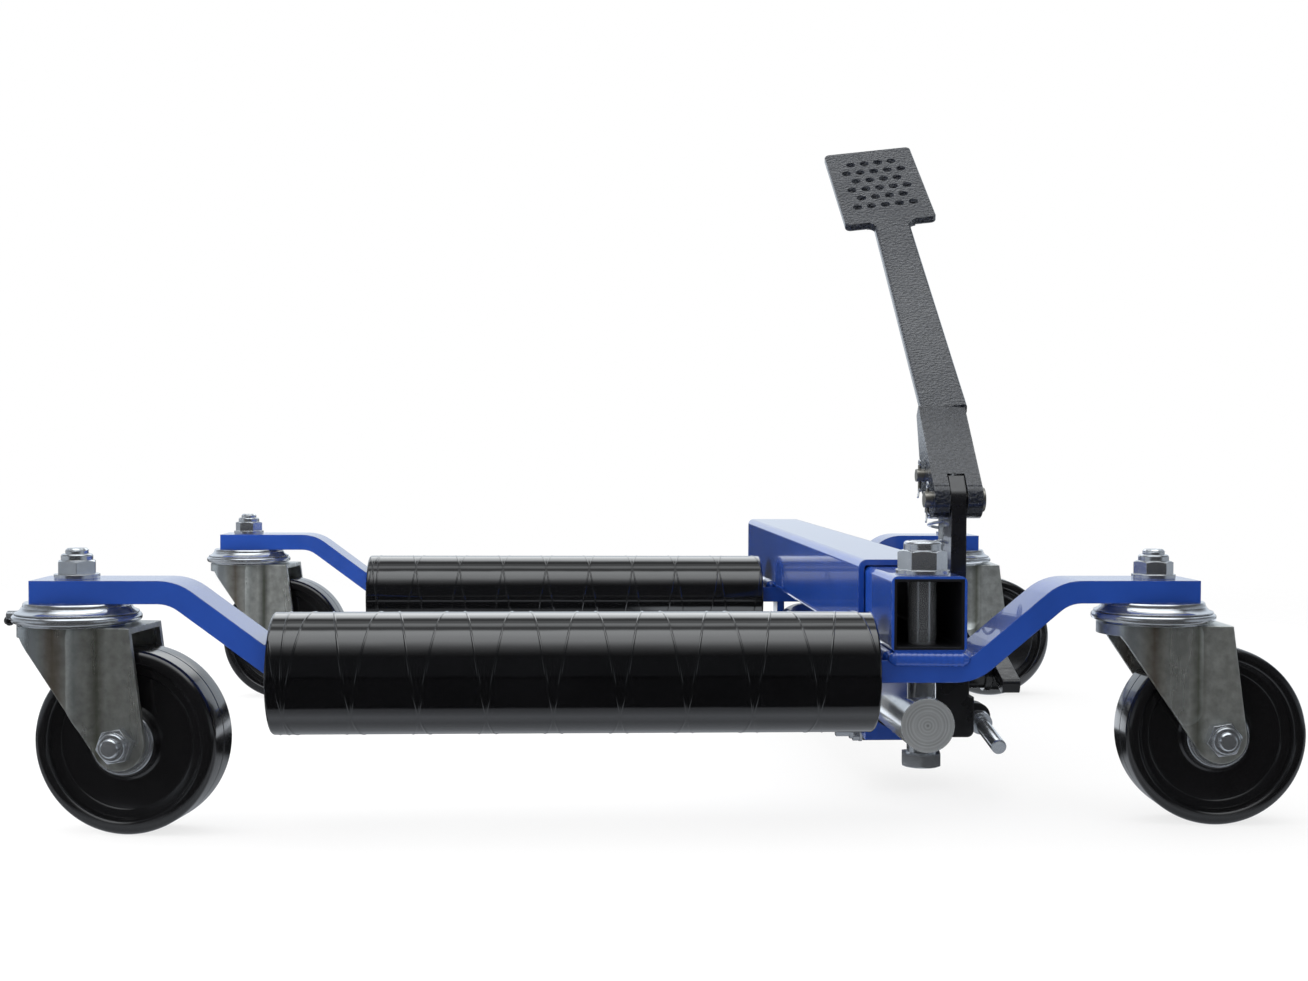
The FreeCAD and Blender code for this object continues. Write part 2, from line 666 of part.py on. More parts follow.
def rod_gland():
    """The bush with the seal that the rod runs in."""
    return ring((tube_x, head_back - GLAND_LENGTH, rod_z), (0, 1, 0), ROD_DIAMETER / 2 + GLAND_WALL,
                ROD_DIAMETER / 2 + RUNNING_FIT, GLAND_LENGTH)


def ram_cylinder():
    """The cylinder tube behind the head."""
    return ring((tube_x, head_back, rod_z), (0, 1, 0), CYLINDER_DIAMETER / 2, CYLINDER_BORE / 2,
                cylinder_back - head_back)


def rear_pin_hole(length):
    """The running hole of the rear pin, across the ram's line."""
    return rod((tube_x - length / 2, ARM_SPACING, rod_z), (1, 0, 0), REAR_PIN / 2 + RUNNING_FIT, length)


def ram_rear_eye():
    """The plug in the cylinder's back end and the eye that holds it to the rear arm."""
    plug = rod((tube_x, cylinder_back - END_PLUG_LENGTH, rod_z), (0, 1, 0), CYLINDER_BORE / 2 - SEAT_FIT,
               END_PLUG_LENGTH)
    half = EYE_WIDTH / 2
    eye = box(tube_x - half, tube_x + half, cylinder_back, ARM_SPACING, rod_z - EYE_RADIUS,
              rod_z + EYE_RADIUS)
    eye = eye.fuse(rod((tube_x - half, ARM_SPACING, rod_z), (1, 0, 0), EYE_RADIUS, EYE_WIDTH))
    return eye.fuse(plug).cut(rear_pin_hole(2 * EYE_WIDTH)).removeSplitter()


def rear_lugs():
    """Two lugs under the rear arm for the pin of the ram's eye."""
    lugs = []
    inner = EYE_WIDTH / 2 + LUG_GAP
    for low in (tube_x - inner - LUG_THICKNESS, tube_x + inner):
        plate = box(low, low + LUG_THICKNESS, ARM_SPACING - LUG_WIDTH / 2, ARM_SPACING + LUG_WIDTH / 2,
                    rod_z, arm_low_bottom)
        plate = plate.fuse(rod((low, ARM_SPACING, rod_z), (1, 0, 0), LUG_WIDTH / 2, LUG_THICKNESS))
        lugs.append(plate.cut(rear_pin_hole(2 * inner + 4 * LUG_THICKNESS)).removeSplitter())
    return Part.makeCompound(lugs)


def cotter(x, y, z, below):
    """A cotter across a pin, and the hole that it needs."""
    wire = rod((x, y, z - below), (0, 0, 1), COTTER_WIRE / 2, COTTER_LENGTH)
    hole = rod((x, y, z - COTTER_LENGTH), (0, 0, 1), COTTER_WIRE / 2 + SEAT_FIT, 2 * COTTER_LENGTH)
    return wire, hole


def rear_pin():
    """The pin through the ram's rear eye."""
    reach = EYE_WIDTH / 2 + LUG_GAP + LUG_THICKNESS
    left = tube_x - reach - REAR_PIN_OVERHANG
    pin = rod((left, ARM_SPACING, rod_z), (1, 0, 0), REAR_PIN / 2, 2 * reach + REAR_PIN_OVERHANG)
    pin = pin.fuse(rod((tube_x + reach, ARM_SPACING, rod_z), (1, 0, 0), REAR_PIN_HEAD / 2,
                       REAR_PIN_HEAD_HEIGHT))
    wire, hole = cotter(left + REAR_PIN_OVERHANG / 2, ARM_SPACING, rod_z, COTTER_LENGTH / 2)
    return Part.makeCompound([pin.cut(hole), wire])


def clamp_studs():
    """Two studs from the pump block through the cylinder head, with nuts and washers on its left."""
    washer_left = head_left - CLAMP_WASHER_THICKNESS
    length = block_left + CLAMP_STUD_DEPTH - head_left + CLAMP_STUD_TAIL
    nut = lock_nut(CLAMP_NUT, CLAMP_NUT_HEIGHT, CLAMP_STUD)
    solids = []
    for y, z in clamp_places:
        solids.append(placed(stud(CLAMP_STUD, length), (block_left + CLAMP_STUD_DEPTH, y, z), (-1, 0, 0)))
        solids.append(ring((washer_left, y, z), (1, 0, 0), CLAMP_WASHER / 2, CLAMP_STUD / 2 + SEAT_FIT,
                           CLAMP_WASHER_THICKNESS))
        solids.append(placed(nut, (washer_left, y, z), (-1, 0, 0)))
    return Part.makeCompound(solids)


def rod_bolt():
    """The bolt that passes up through the rod, the arm and the sliding tube."""
    seat = rod_z - ROD_DIAMETER / 2 - ROD_BOLT_NECK
    length = inner_tube_top + ROD_WASHER_THICKNESS + ROD_NUT_HEIGHT - seat
    shape = bolt(ROD_BOLT, length, ROD_BOLT_HEAD, ROD_BOLT_HEAD_HEIGHT, ROD_BOLT_HEAD_TURN)
    return placed(shape, (tube_x, 0, seat))


def rod_nut():
    """The large lock nut and washer on top of the sliding tube."""
    washer = ring((tube_x, 0, inner_tube_top), (0, 0, 1), ROD_WASHER / 2, ROD_BOLT / 2 + SEAT_FIT,
                  ROD_WASHER_THICKNESS)
    nut = lock_nut(ROD_NUT, ROD_NUT_HEIGHT, ROD_BOLT, ROD_NUT_TURN)
    return Part.makeCompound([washer, placed(nut, (tube_x, 0, inner_tube_top + ROD_WASHER_THICKNESS))])


def spindle_lug():
    """The ear on the pump block that the spindle turns in."""
    half = SPINDLE_DIAMETER / 2 + SPINDLE_LUG_WALL
    front = spindle_collar_y + SPINDLE_COLLAR_LENGTH / 2 + SPINDLE_LUG_GAP
    middle = front + SPINDLE_LUG_LENGTH / 2
    z = spindle_collar_z + (middle - spindle_collar_y) * math.tan(spindle_droop)
    root = box(block_right - BLOCK_ROUND, spindle_x, front, front + SPINDLE_LUG_LENGTH,
               max(z - half, bracket_bottom + BLOCK_ROUND), z + half)
    return root.fuse(rod((spindle_x, front, z), (0, 1, 0), half, SPINDLE_LUG_LENGTH))


def pump_block():
    """The cast pump body beside the cylinder head, with seats for the barrel and the fulcrum post."""
    block = box(block_left, block_right, block_front, block_back, bracket_bottom, block_top)
    rounds = edges_along(block, (0, 1, 0), lambda p: p.x > block_right - BLOCK_ROUND)
    block = block.makeFillet(BLOCK_ROUND, rounds).fuse(spindle_lug())
    step = box(block_right - BLOCK_STEP_WIDTH, block_right + CUT_PAST, block_front - CUT_PAST,
               block_front + BLOCK_STEP_LENGTH, block_top - BLOCK_STEP_HEIGHT, block_top + CUT_PAST)
    block = block.cut(step)
    block = block.cut(rod(*spindle_line(-SPINDLE_NOSE), SPINDLE_DIAMETER / 2 + RUNNING_FIT,
                          2 * SPINDLE_NOSE + SPINDLE_TAIL))
    block = block.cut(rod((pump_x, plunger_y, block_top - BARREL_SEAT_DEPTH), (0, 0, 1),
                          BARREL_DIAMETER / 2 + SEAT_FIT, BARREL_SEAT_DEPTH + CUT_PAST))
    well = plunger_foot_z - plunger_stroke - PLUNGER_FOOT_GAP
    block = block.cut(rod((pump_x, plunger_y, well), (0, 0, 1), PLUNGER_DIAMETER / 2 + RUNNING_FIT,
                          block_top - well))
    half = POST_THICKNESS / 2
    block = block.cut(box(pump_x - half, pump_x + half, pivot_y - POST_WIDTH / 2, pivot_y + POST_WIDTH / 2,
                          block_top - POST_SEAT_DEPTH, block_top + CUT_PAST))
    for y, z in clamp_places:
        block = block.cut(rod((block_left - CUT_PAST, y, z), (1, 0, 0), CLAMP_STUD / 2 + SEAT_FIT,
                              CLAMP_STUD_DEPTH + CUT_PAST))
    return block.removeSplitter()


def pump_barrel():
    """The upright pump barrel with the flange that the return spring stands on."""
    foot = block_top - BARREL_SEAT_DEPTH
    barrel = rod((pump_x, plunger_y, foot), (0, 0, 1), BARREL_DIAMETER / 2, spring_seat_z - foot)
    flange = rod((pump_x, plunger_y, spring_seat_z - BARREL_FLANGE_THICKNESS), (0, 0, 1),
                 BARREL_FLANGE / 2, BARREL_FLANGE_THICKNESS)
    bore = rod((pump_x, plunger_y, foot - CUT_PAST), (0, 0, 1), PLUNGER_DIAMETER / 2 + RUNNING_FIT,
               spring_seat_z - foot + 2 * CUT_PAST)
    return barrel.fuse(flange).cut(bore).removeSplitter()


def fulcrum_post():
    """The flat upright that the pedal pivots on, with a crown that lies flush in the lever's fork."""
    half = POST_THICKNESS / 2
    reach = POST_WIDTH / 2
    climb = math.atan2(LEVER_BEND_UP, LEVER_BEND_BACK)
    along_y, along_z = math.cos(climb), math.sin(climb)
    crown = [
        (pivot_y, pivot_z),
        (pivot_y - reach * along_z, pivot_z + reach * along_y),
        (pivot_y - reach * along_z + POST_CROWN * along_y, pivot_z + reach * along_y + POST_CROWN * along_z),
        (pivot_y + POST_CROWN * along_y, pivot_z + POST_CROWN * along_z),
    ]
    post = box(pump_x - half, pump_x + half, pivot_y - POST_WIDTH / 2, pivot_y + POST_WIDTH / 2,
               block_top - POST_SEAT_DEPTH, pivot_z)
    post = post.fuse(rod((pump_x - half, pivot_y, pivot_z), (1, 0, 0), reach, POST_THICKNESS))
    post = post.fuse(prism_yz(crown, pump_x - half, pump_x + half))
    hole = rod((pump_x - POST_THICKNESS, pivot_y, pivot_z), (1, 0, 0), PIVOT_PIN / 2 + RUNNING_FIT,
               2 * POST_THICKNESS)
    return post.cut(hole).removeSplitter()


def plunger():
    """The pump plunger with the slotted eye that lets the lever's pin swing."""
    half_slot = (PLUNGER_PIN + pin_sway) / 2 + EYE_PLAY
    half_height = PLUNGER_PIN / 2 + EYE_PLAY
    half_head = PLUNGER_HEAD_THICKNESS / 2
    half_length = half_slot + PLUNGER_HEAD_WALL
    stem = rod((pump_x, plunger_y, plunger_foot_z), (0, 0, 1), PLUNGER_DIAMETER / 2,
               plunger_neck_z + PLUNGER_HEAD_WALL / 2 - plunger_foot_z)
    head = box(pump_x - half_head, pump_x + half_head, plunger_y - half_length, plunger_y + half_length,
               plunger_neck_z, plunger_pin_z + half_height + PLUNGER_HEAD_WALL)
    head = head.makeFillet(half_height * 0.8, edges_along(head, (1, 0, 0), every))
    slot = box(pump_x - 2 * half_head, pump_x + 2 * half_head, plunger_y - half_slot, plunger_y + half_slot,
               plunger_pin_z - half_height, plunger_pin_z + half_height)
    slot = slot.makeFillet(half_height * 0.95, edges_along(slot, (1, 0, 0), every))
    return stem.fuse(head).cut(slot).removeSplitter()


def spring_cap():
    """The bright collar on the plunger that the return spring pushes up."""
    cap = ring((pump_x, plunger_y, cap_z), (0, 0, 1), CAP_DIAMETER / 2, PLUNGER_DIAMETER / 2 + SEAT_FIT,
               CAP_THICKNESS)
    rims = [edge for edge in cap.Edges
            if edge.BoundBox.ZLength < 1e-6 and edge.BoundBox.XLength > CAP_DIAMETER - 0.1]
    return cap.makeChamfer(CAP_CHAMFER, rims)


def spring_height(turn, turns):
    """Height of the spring's wire above its first point: close end turns, open turns between."""
    if turn <= 1.0:
        return SPRING_END_PITCH * turn
    if turn >= turns - 1.0:
        return SPRING_END_PITCH * (turn - turns + 2.0) + SPRING_PITCH * (turns - 2.0)
    return SPRING_END_PITCH + SPRING_PITCH * (turn - 1.0)


def biarc(start, start_way, end, end_way):
    """Two arcs that join two points with given directions and meet smoothly."""
    chord = end - start
    ways = start_way + end_way
    bend = 2 * (1 - start_way.dot(end_way))
    along = chord.dot(ways)
    reach = (math.sqrt(along * along + bend * chord.dot(chord)) - along) / bend
    first = start + start_way * reach
    second = end - end_way * reach
    joint = (first + second) * 0.5
    arcs = []
    for a, corner, b in ((start, first, joint), (joint, second, end)):
        centre = (a + b) * 0.5
        rise = corner - centre
        half_chord = (b - a).Length / 2
        sag = half_chord * math.tan(math.atan2(rise.Length, half_chord) / 2)
        arcs.append(Part.Arc(a, centre + rise.normalize() * sag, b).toShape())
    return arcs


def return_spring():
    """The pedal's return spring: one wire in quarter-turn biarcs round the plunger."""
    radius = (SPRING_DIAMETER - SPRING_WIRE) / 2
    first_z = spring_seat_z + SPRING_WIRE / 2 + SPRING_FOOT_GAP
    rise = cap_z - SPRING_TOP_GAP - SPRING_WIRE / 2 - first_z
    turns = 2.0 + (rise - 2 * SPRING_END_PITCH) / SPRING_PITCH
    steps = max(8, round(4 * turns))

    def point(turn):
        angle = 2 * math.pi * turn
        return V(pump_x + radius * math.cos(angle), plunger_y + radius * math.sin(angle),
                 first_z + spring_height(turn, turns))

    def way(turn):
        angle = 2 * math.pi * turn
        ahead = min(turn + 0.125, turns)
        behind = max(turn - 0.125, 0.0)
        climb = (spring_height(ahead, turns) - spring_height(behind, turns)) / (ahead - behind)
        round_speed = 2 * math.pi * radius
        return V(-round_speed * math.sin(angle), round_speed * math.cos(angle), climb).normalize()

    stations = [turns * step / steps for step in range(steps + 1)]
    edges = []
    for before, after in zip(stations, stations[1:]):
        edges += biarc(point(before), way(before), point(after), way(after))
    path = Part.Wire(edges)
    section = Part.Wire([Part.Circle(point(0.0), way(0.0), SPRING_WIRE / 2).toShape()])
    samples = [point(turns * i / SPRING_SAMPLES) for i in range(SPRING_SAMPLES + 1)]
    apart = round(SPRING_SAMPLES * 0.5 / turns)
    nearest = min((a - b).Length for i, a in enumerate(samples) for b in samples[i + apart:])
    print("return spring: least gap between turns", round(nearest - SPRING_WIRE, 2), "mm")
    return path.makePipeShell([section], True, False)


def lever_outline_low():
    """Side outline of the lever's forked lower part, from the pivot to the bend."""
    along = V(0, math.cos(pin_angle), math.sin(pin_angle))
    under = V(0, math.sin(pin_angle), -math.cos(pin_angle))
    pivot = V(0, pivot_y, pivot_z)
    heel = V(0, plunger_pin_y, plunger_pin_z)
    bend = V(0, bend_y, bend_z)
    to_bend = (bend - pivot).normalize()
    front = V(0, -to_bend.z, to_bend.y)
    lean = math.radians(LEVER_LEAN)
    inward = V(0, math.cos(lean), -math.sin(lean))
    corners = [
        pivot + front * LEVER_PIVOT_RADIUS,
        bend,
        bend + inward * LEVER_ARM_THICKNESS,
        heel + along * LEVER_HEEL_RADIUS,
        heel + under * LEVER_HEEL_RADIUS,
        pivot + under * LEVER_PIVOT_RADIUS,
    ]
    return [(corner.y, corner.z) for corner in corners]


def lever_slot():
    """The slot in the lever's fork: clear of the post and of the plunger's head over the whole travel."""
    x0 = pump_x - lever_slot_width / 2
    post_clear = POST_WIDTH / 2 + LEVER_POST_GAP
    crown_reach = POST_WIDTH / 2 + LEVER_CROWN_GAP
    slot = rod((x0, pivot_y, pivot_z), (1, 0, 0), crown_reach, lever_slot_width)
    head_reach = pin_sway + PLUNGER_PIN / 2 + EYE_PLAY + PLUNGER_HEAD_WALL + LEVER_HEAD_GAP
    slot = slot.fuse(rod((x0, plunger_pin_y, plunger_pin_z), (1, 0, 0), head_reach, lever_slot_width))
    under_y, under_z = math.sin(pin_angle), -math.cos(pin_angle)
    stem_room = [
        (pivot_y, pivot_z),
        (plunger_pin_y, plunger_pin_z),
        (plunger_pin_y + head_reach * under_y, plunger_pin_z + head_reach * under_z),
        (pivot_y + crown_reach * under_y, pivot_z + crown_reach * under_z),
    ]
    slot = slot.fuse(prism_yz(stem_room, x0, x0 + lever_slot_width))
    for share in (0.0, 0.5, 1.0):
        gap = box(x0, x0 + lever_slot_width, pivot_y - post_clear, pivot_y + post_clear,
                  pivot_z - 2 * POST_WIDTH, pivot_z)
        gap.rotate(V(0, pivot_y, pivot_z), V(1, 0, 0), share * PEDAL_TRAVEL)
        slot = slot.fuse(gap)
    return slot.removeSplitter()


def cap_rooms():
    """The room under the lever that the spring cap needs at steps of the travel."""
    rooms = []
    for step in range(CAP_ROOM_STEPS + 1):
        share = step / CAP_ROOM_STEPS
        room = rod((pump_x, plunger_y, cap_z - share * plunger_stroke), (0, 0, 1),
                   CAP_DIAMETER / 2 + LEVER_CAP_GAP, CAP_THICKNESS + LEVER_CAP_GAP)
        room.rotate(V(0, pivot_y, pivot_z), V(1, 0, 0), share * PEDAL_TRAVEL)
        rooms.append(room)
    return rooms


def pad_dimples():
    """Staggered rows of tapered grip dimples, in the pad's own flat frame."""
    dimples = []
    top = PAD_LENGTH - DIMPLE_TOP_MARGIN
    flare = (DIMPLE_DIAMETER - DIMPLE_FLOOR) / 2 / DIMPLE_DEPTH
    for row, count in enumerate(DIMPLE_ROWS):
        for column in range(count):
            x = (column - (count - 1) / 2) * DIMPLE_PITCH_ACROSS
            dimples.append(Part.makeCone(DIMPLE_FLOOR / 2, DIMPLE_DIAMETER / 2 + flare * CUT_PAST,
                                         DIMPLE_DEPTH + CUT_PAST,
                                         V(x, top - row * DIMPLE_PITCH_ALONG, -DIMPLE_DEPTH)))
    return Part.makeCompound(dimples)


def lever_upper():
    """The bent arm and the dimpled pad: made flat, twisted on their long axis and leant back."""
    half = LEVER_ARM_WIDTH / 2
    neck = half - LEVER_ARM_TAPER / 2
    end = LEVER_ARM_LENGTH + PAD_ROOT_ROUND
    corners = [V(-half, 0, 0), V(half, 0, 0), V(neck, end, 0), V(-neck, end, 0), V(-half, 0, 0)]
    arm = Part.Face(Part.makePolygon(corners)).extrude(V(0, 0, -LEVER_ARM_THICKNESS))
    arm = arm.makeFillet(LEVER_ARM_ROUND, [edge for edge in arm.Edges if edge.BoundBox.YLength > end / 2])
    pad = box(-PAD_WIDTH / 2, PAD_WIDTH / 2, 0, PAD_LENGTH, -PAD_THICKNESS, 0)
    pad = pad.makeFillet(PAD_CORNER, edges_along(pad, (0, 0, 1), every))
    pad = pad.makeFillet(PAD_EDGE_ROUND, pad.Edges).cut(pad_dimples())
    pad.rotate(V(0, 0, 0), V(0, 0, 1), PAD_SKEW)
    pad.translate(V(0, LEVER_ARM_LENGTH, 0))
    web = neck + PAD_ROOT_ROUND
    start = LEVER_ARM_LENGTH - PAD_ROOT_ROUND
    root = box(-web, web, start, end, -PAD_THICKNESS, 0)
    for side in (-1, 1):
        root = root.cut(rod((side * web, start, -PAD_THICKNESS), (0, 0, 1), PAD_ROOT_ROUND, PAD_THICKNESS))
    upper = arm.fuse(pad).fuse(root)
    upper.rotate(V(0, 0, 0), V(0, 1, 0), -LEVER_TWIST)
    upper.rotate(V(0, 0, 0), V(1, 0, 0), 90 - LEVER_LEAN)
    upper.translate(V(pump_x + LEVER_ARM_SHIFT, bend_y, bend_z))
    return upper


def pedal_lever():
    """The foot lever: fork, bent arm and dimpled pad in one casting."""
    half = lever_width / 2
    low = prism_yz(lever_outline_low(), pump_x - half, pump_x + half)
    pins = (
        (pivot_y, pivot_z, LEVER_PIVOT_RADIUS, PIVOT_PIN),
        (plunger_pin_y, plunger_pin_z, LEVER_HEEL_RADIUS, PLUNGER_PIN),
    )
    for y, z, radius, pin in pins:
        low = low.fuse(rod((pump_x - half, y, z), (1, 0, 0), radius, lever_width))
    low = low.cut(lever_slot())
    for room in cap_rooms():
        low = low.cut(room)
    lever = low.fuse(lever_upper())
    for y, z, radius, pin in pins:
        lever = lever.cut(rod((pump_x - lever_width, y, z), (1, 0, 0), pin / 2 + SEAT_FIT, 2 * lever_width))
    return lever.removeSplitter()


def lever_pin(y, z, diameter):
    """A headed pin across the lever's fork with a cotter through its left end."""
    half = lever_width / 2
    left = pump_x - half - PIN_OVERHANG
    pin = rod((left, y, z), (1, 0, 0), diameter / 2, lever_width + PIN_OVERHANG)
    head = rod((pump_x + half, y, z), (1, 0, 0), diameter / 2 + PIN_HEAD_RIM, PIN_HEAD_HEIGHT)
    wire, hole = cotter(left + PIN_OVERHANG / 2, y, z, COTTER_BELOW)
    return Part.makeCompound([pin.fuse(head).cut(hole), wire])


def release_valve():
    """The valve's round body on the pump's right side, bored for the foot lever's shaft."""
    right = block_right + VALVE_LENGTH
    body = rod((block_right, valve_y, valve_z), (1, 0, 0), VALVE_DIAMETER / 2, VALVE_LENGTH)
    collar = rod((right - VALVE_COLLAR_LENGTH, valve_y, valve_z), (1, 0, 0), VALVE_COLLAR / 2,
                 VALVE_COLLAR_LENGTH)
    bore_left = right - RELEASE_SHAFT_DEPTH - RELEASE_SHAFT_END_GAP
    bore = rod((bore_left, valve_y, valve_z), (1, 0, 0), RELEASE_SHAFT / 2 + RUNNING_FIT,
               right - bore_left + CUT_PAST)
    return body.fuse(collar).cut(bore).removeSplitter()


def release_lever():
    """The small foot lever on the valve's shaft."""
    right = release_left + RELEASE_WIDTH
    hub = rod((release_left, valve_y, valve_z), (1, 0, 0), RELEASE_HUB / 2, RELEASE_WIDTH)
    shaft_left = release_left - RELEASE_GAP - RELEASE_SHAFT_DEPTH
    shaft = rod((shaft_left, valve_y, valve_z), (1, 0, 0), RELEASE_SHAFT / 2,
                right + RELEASE_SHAFT_TIP - shaft_left)
    top = valve_z + RELEASE_HUB / 2
    tip = valve_y - RELEASE_REACH
    arm = box(release_left, right, tip, valve_y, top - RELEASE_ARM_THICKNESS, top)
    tip_edges = edges_along(arm, (1, 0, 0), lambda p: p.y < tip + RELEASE_ARM_ROUND)
    arm = arm.makeFillet(RELEASE_ARM_ROUND, tip_edges)
    arm.rotate(V(0, valve_y, valve_z), V(1, 0, 0), RELEASE_ARM_SLOPE)
    return hub.fuse(arm).fuse(shaft).removeSplitter()


def spindle_line(distance):
    """A point on the spindle's axis, at a distance behind its collar, and the axis direction."""
    way = (0.0, math.cos(spindle_droop), math.sin(spindle_droop))
    start = (spindle_x, spindle_collar_y + distance * way[1], spindle_collar_z + distance * way[2])
    return start, way


def release_spindle():
    """The bright collared spindle at the pump's lower right."""
    bar = stud(SPINDLE_DIAMETER, SPINDLE_NOSE + SPINDLE_TAIL)
    start, way = spindle_line(SPINDLE_TAIL)
    bar = placed(bar, start, (-way[0], -way[1], -way[2]))
    collar = rod(*spindle_line(-SPINDLE_COLLAR_LENGTH / 2), SPINDLE_COLLAR / 2, SPINDLE_COLLAR_LENGTH)
    return bar.fuse(collar).removeSplitter()


def tangent_point(point, centre, radius, side):
    """Where a line from a point touches a circle, on its left (-1) or right (1) side."""
    dx, dz = point[0] - centre[0], point[1] - centre[1]
    distance = math.hypot(dx, dz)
    angle = math.atan2(dz, dx) - side * math.acos(radius / distance)
    return centre[0] + radius * math.cos(angle), centre[1] + radius * math.sin(angle)


def fork_side():
    """Side outline of the caster fork: slanted front edge, steep back edge and a round foot."""
    centre = (CASTER_TRAIL, axle_z)
    lip_z = fork_top - FORK_LIP
    slant = (-FORK_SLANT_START, lip_z)
    back = (FORK_BACK, fork_top)
    left = tangent_point(slant, centre, FORK_FOOT_RADIUS, -1)
    right = tangent_point(back, centre, FORK_FOOT_RADIUS, 1)
    y = -2 * fork_half
    corners = (right, back, (-FORK_DISH, fork_top), (-FORK_DISH, lip_z), slant, left)
    points = [V(x, y, z) for x, z in corners]
    edges = [Part.makeLine(a, b) for a, b in zip(points, points[1:])]
    foot = V(CASTER_TRAIL, y, axle_z - FORK_FOOT_RADIUS)
    edges.append(Part.Arc(points[-1], foot, points[0]).toShape())
    return Part.Face(Part.Wire(edges)).extrude(V(0, -2 * y, 0))


def channel(half_width, dish_radius, corner_radius, height):
    """A plan shape with a round front under the ring and parallel sides, carried up from the floor."""
    plan = rod((0, 0, 0), (0, 0, 1), dish_radius, height)
    plan = plan.common(box(-dish_radius, 0, -half_width, half_width, 0, height))
    plan = plan.fuse(box(0, 2 * FORK_DISH, -half_width, half_width, 0, height)).removeSplitter()
    return plan.makeFillet(corner_radius, edges_along(plan, (0, 0, 1), lambda p: p.x < -1e-3))


def caster_fork():
    """The pressed fork: a channel with a round front, cut to the side outline, with one rib a leg."""
    shell = channel(fork_half, FORK_DISH / 2, FORK_CORNER, fork_top)
    inner = channel(fork_half - FORK_SHEET, FORK_DISH / 2 - FORK_SHEET, FORK_CORNER - FORK_SHEET,
                    fork_top - FORK_SHEET)
    rib_foot = axle_z + FORK_RIB_FOOT
    rib_top = fork_top - FORK_RIB_TOP
    offset = fork_half + FORK_RIB_HEIGHT - FORK_RIB_RADIUS
    for side in (-1, 1):
        shell = shell.fuse(rod((FORK_RIB_X, side * offset, rib_foot), (0, 0, 1), FORK_RIB_RADIUS,
                               rib_top - rib_foot))
        for z in (rib_foot, rib_top):
            shell = shell.fuse(Part.makeSphere(FORK_RIB_RADIUS, V(FORK_RIB_X, side * offset, z)))
    fork = shell.cut(inner).common(fork_side())
    fork = fork.cut(rod((0, 0, fork_top - 2 * FORK_SHEET), (0, 0, 1), KINGPIN / 2 + SWIVEL_FIT,
                        3 * FORK_SHEET))
    axle_hole = rod((CASTER_TRAIL, -2 * fork_half, axle_z), (0, 1, 0), AXLE / 2 + SEAT_FIT, 4 * fork_half)
    return fork.cut(axle_hole).removeSplitter()


def swivel_ring(nipple_turn):
    """The dust ring on top of the fork with its grease nipple."""
    disc = rod((0, 0, ring_foot), (0, 0, 1), RING_DIAMETER / 2, RING_THICKNESS)
    rims = [edge for edge in disc.Edges if edge.BoundBox.ZLength < 1e-6]
    disc = disc.makeFillet(RING_ROUND, rims)
    disc = disc.fuse(rod((0, 0, fork_top), (0, 0, 1), RING_BOSS / 2, ring_top - fork_top - RING_ROUND))
    disc = disc.cut(rod((0, 0, fork_top - CUT_PAST), (0, 0, 1), KINGPIN / 2 + SWIVEL_FIT,
                        ring_top - fork_top + 2 * CUT_PAST))
    start = RING_DIAMETER / 2 - NIPPLE_ROOT
    z = ring_foot + RING_THICKNESS / 2
    nipple = rod((-start, 0, z), (-1, 0, 0), NIPPLE_DIAMETER / 2, NIPPLE_ROOT + NIPPLE_LENGTH)
    nipple = nipple.cut(rod((-start - NIPPLE_LENGTH, 0, z), (-1, 0, 0), NIPPLE_HOLE / 2, NIPPLE_LENGTH))
    nipple.rotate(V(0, 0, 0), V(0, 0, 1), nipple_turn)
    return disc.fuse(nipple).removeSplitter()


def caster_wheel():
    """A nylon wheel with a rounded tread, recessed faces and a hub."""
    radius = WHEEL_DIAMETER / 2
    half = WHEEL_WIDTH / 2
    recess = half - WHEEL_RECESS
    outline = [
        (AXLE / 2 + RUNNING_FIT, HUB_WIDTH / 2),
        (HUB_DIAMETER / 2 - WHEEL_RECESS_BEVEL, HUB_WIDTH / 2),
        (HUB_DIAMETER / 2, recess),
        (radius - WHEEL_RIM - WHEEL_RECESS_BEVEL / 2, recess),
        (radius - WHEEL_RIM + WHEEL_RECESS_BEVEL / 2, half),
        (radius, half),
    ]
    points = [V(r, w, 0) for r, w in outline] + [V(r, -w, 0) for r, w in outline[::-1]]
    wheel = Part.Face(Part.makePolygon(points + points[:1])).revolve(V(0, 0, 0), V(0, 1, 0), 360)
    rims = [edge for edge in wheel.Edges
            if edge.BoundBox.YLength < 1e-6 and edge.BoundBox.XLength > WHEEL_DIAMETER - 0.1]
    wheel = wheel.makeFillet(WHEEL_TREAD_ROUND, rims)
    wheel.translate(V(CASTER_TRAIL, 0, axle_z))
    return wheel


def caster_axle():
    """The axle bolt with its lock nut and the two thread guards inside the fork."""
    shank = bolt(AXLE, 2 * fork_half + AXLE_NUT_HEIGHT + AXLE_TIP, AXLE_NUT, AXLE_HEAD_HEIGHT)
    nut = lock_nut(AXLE_NUT, AXLE_NUT_HEIGHT, AXLE, AXLE_NUT_TURN)
    solids = [
        placed(shank, (CASTER_TRAIL, fork_half, axle_z), (0, -1, 0)),
        placed(nut, (CASTER_TRAIL, -fork_half, axle_z), (0, -1, 0)),
    ]
    for side in (-1, 1):
        solids.append(ring((CASTER_TRAIL, side * FORK_INSIDE / 2, axle_z), (0, -side, 0),
                           GUARD_DIAMETER / 2, AXLE / 2 + SEAT_FIT, GUARD_THICKNESS))
    return Part.makeCompound(solids)


def at_caster(shape, name):
    """A caster piece turned to its resting direction and moved under its arm."""
    x, y = caster_places[name]
    copy = shape.copy()
    copy.rotate(V(0, 0, 0), V(0, 0, 1), CASTER_TURN[name])
    copy.translate(V(x, y, 0))
    return copy


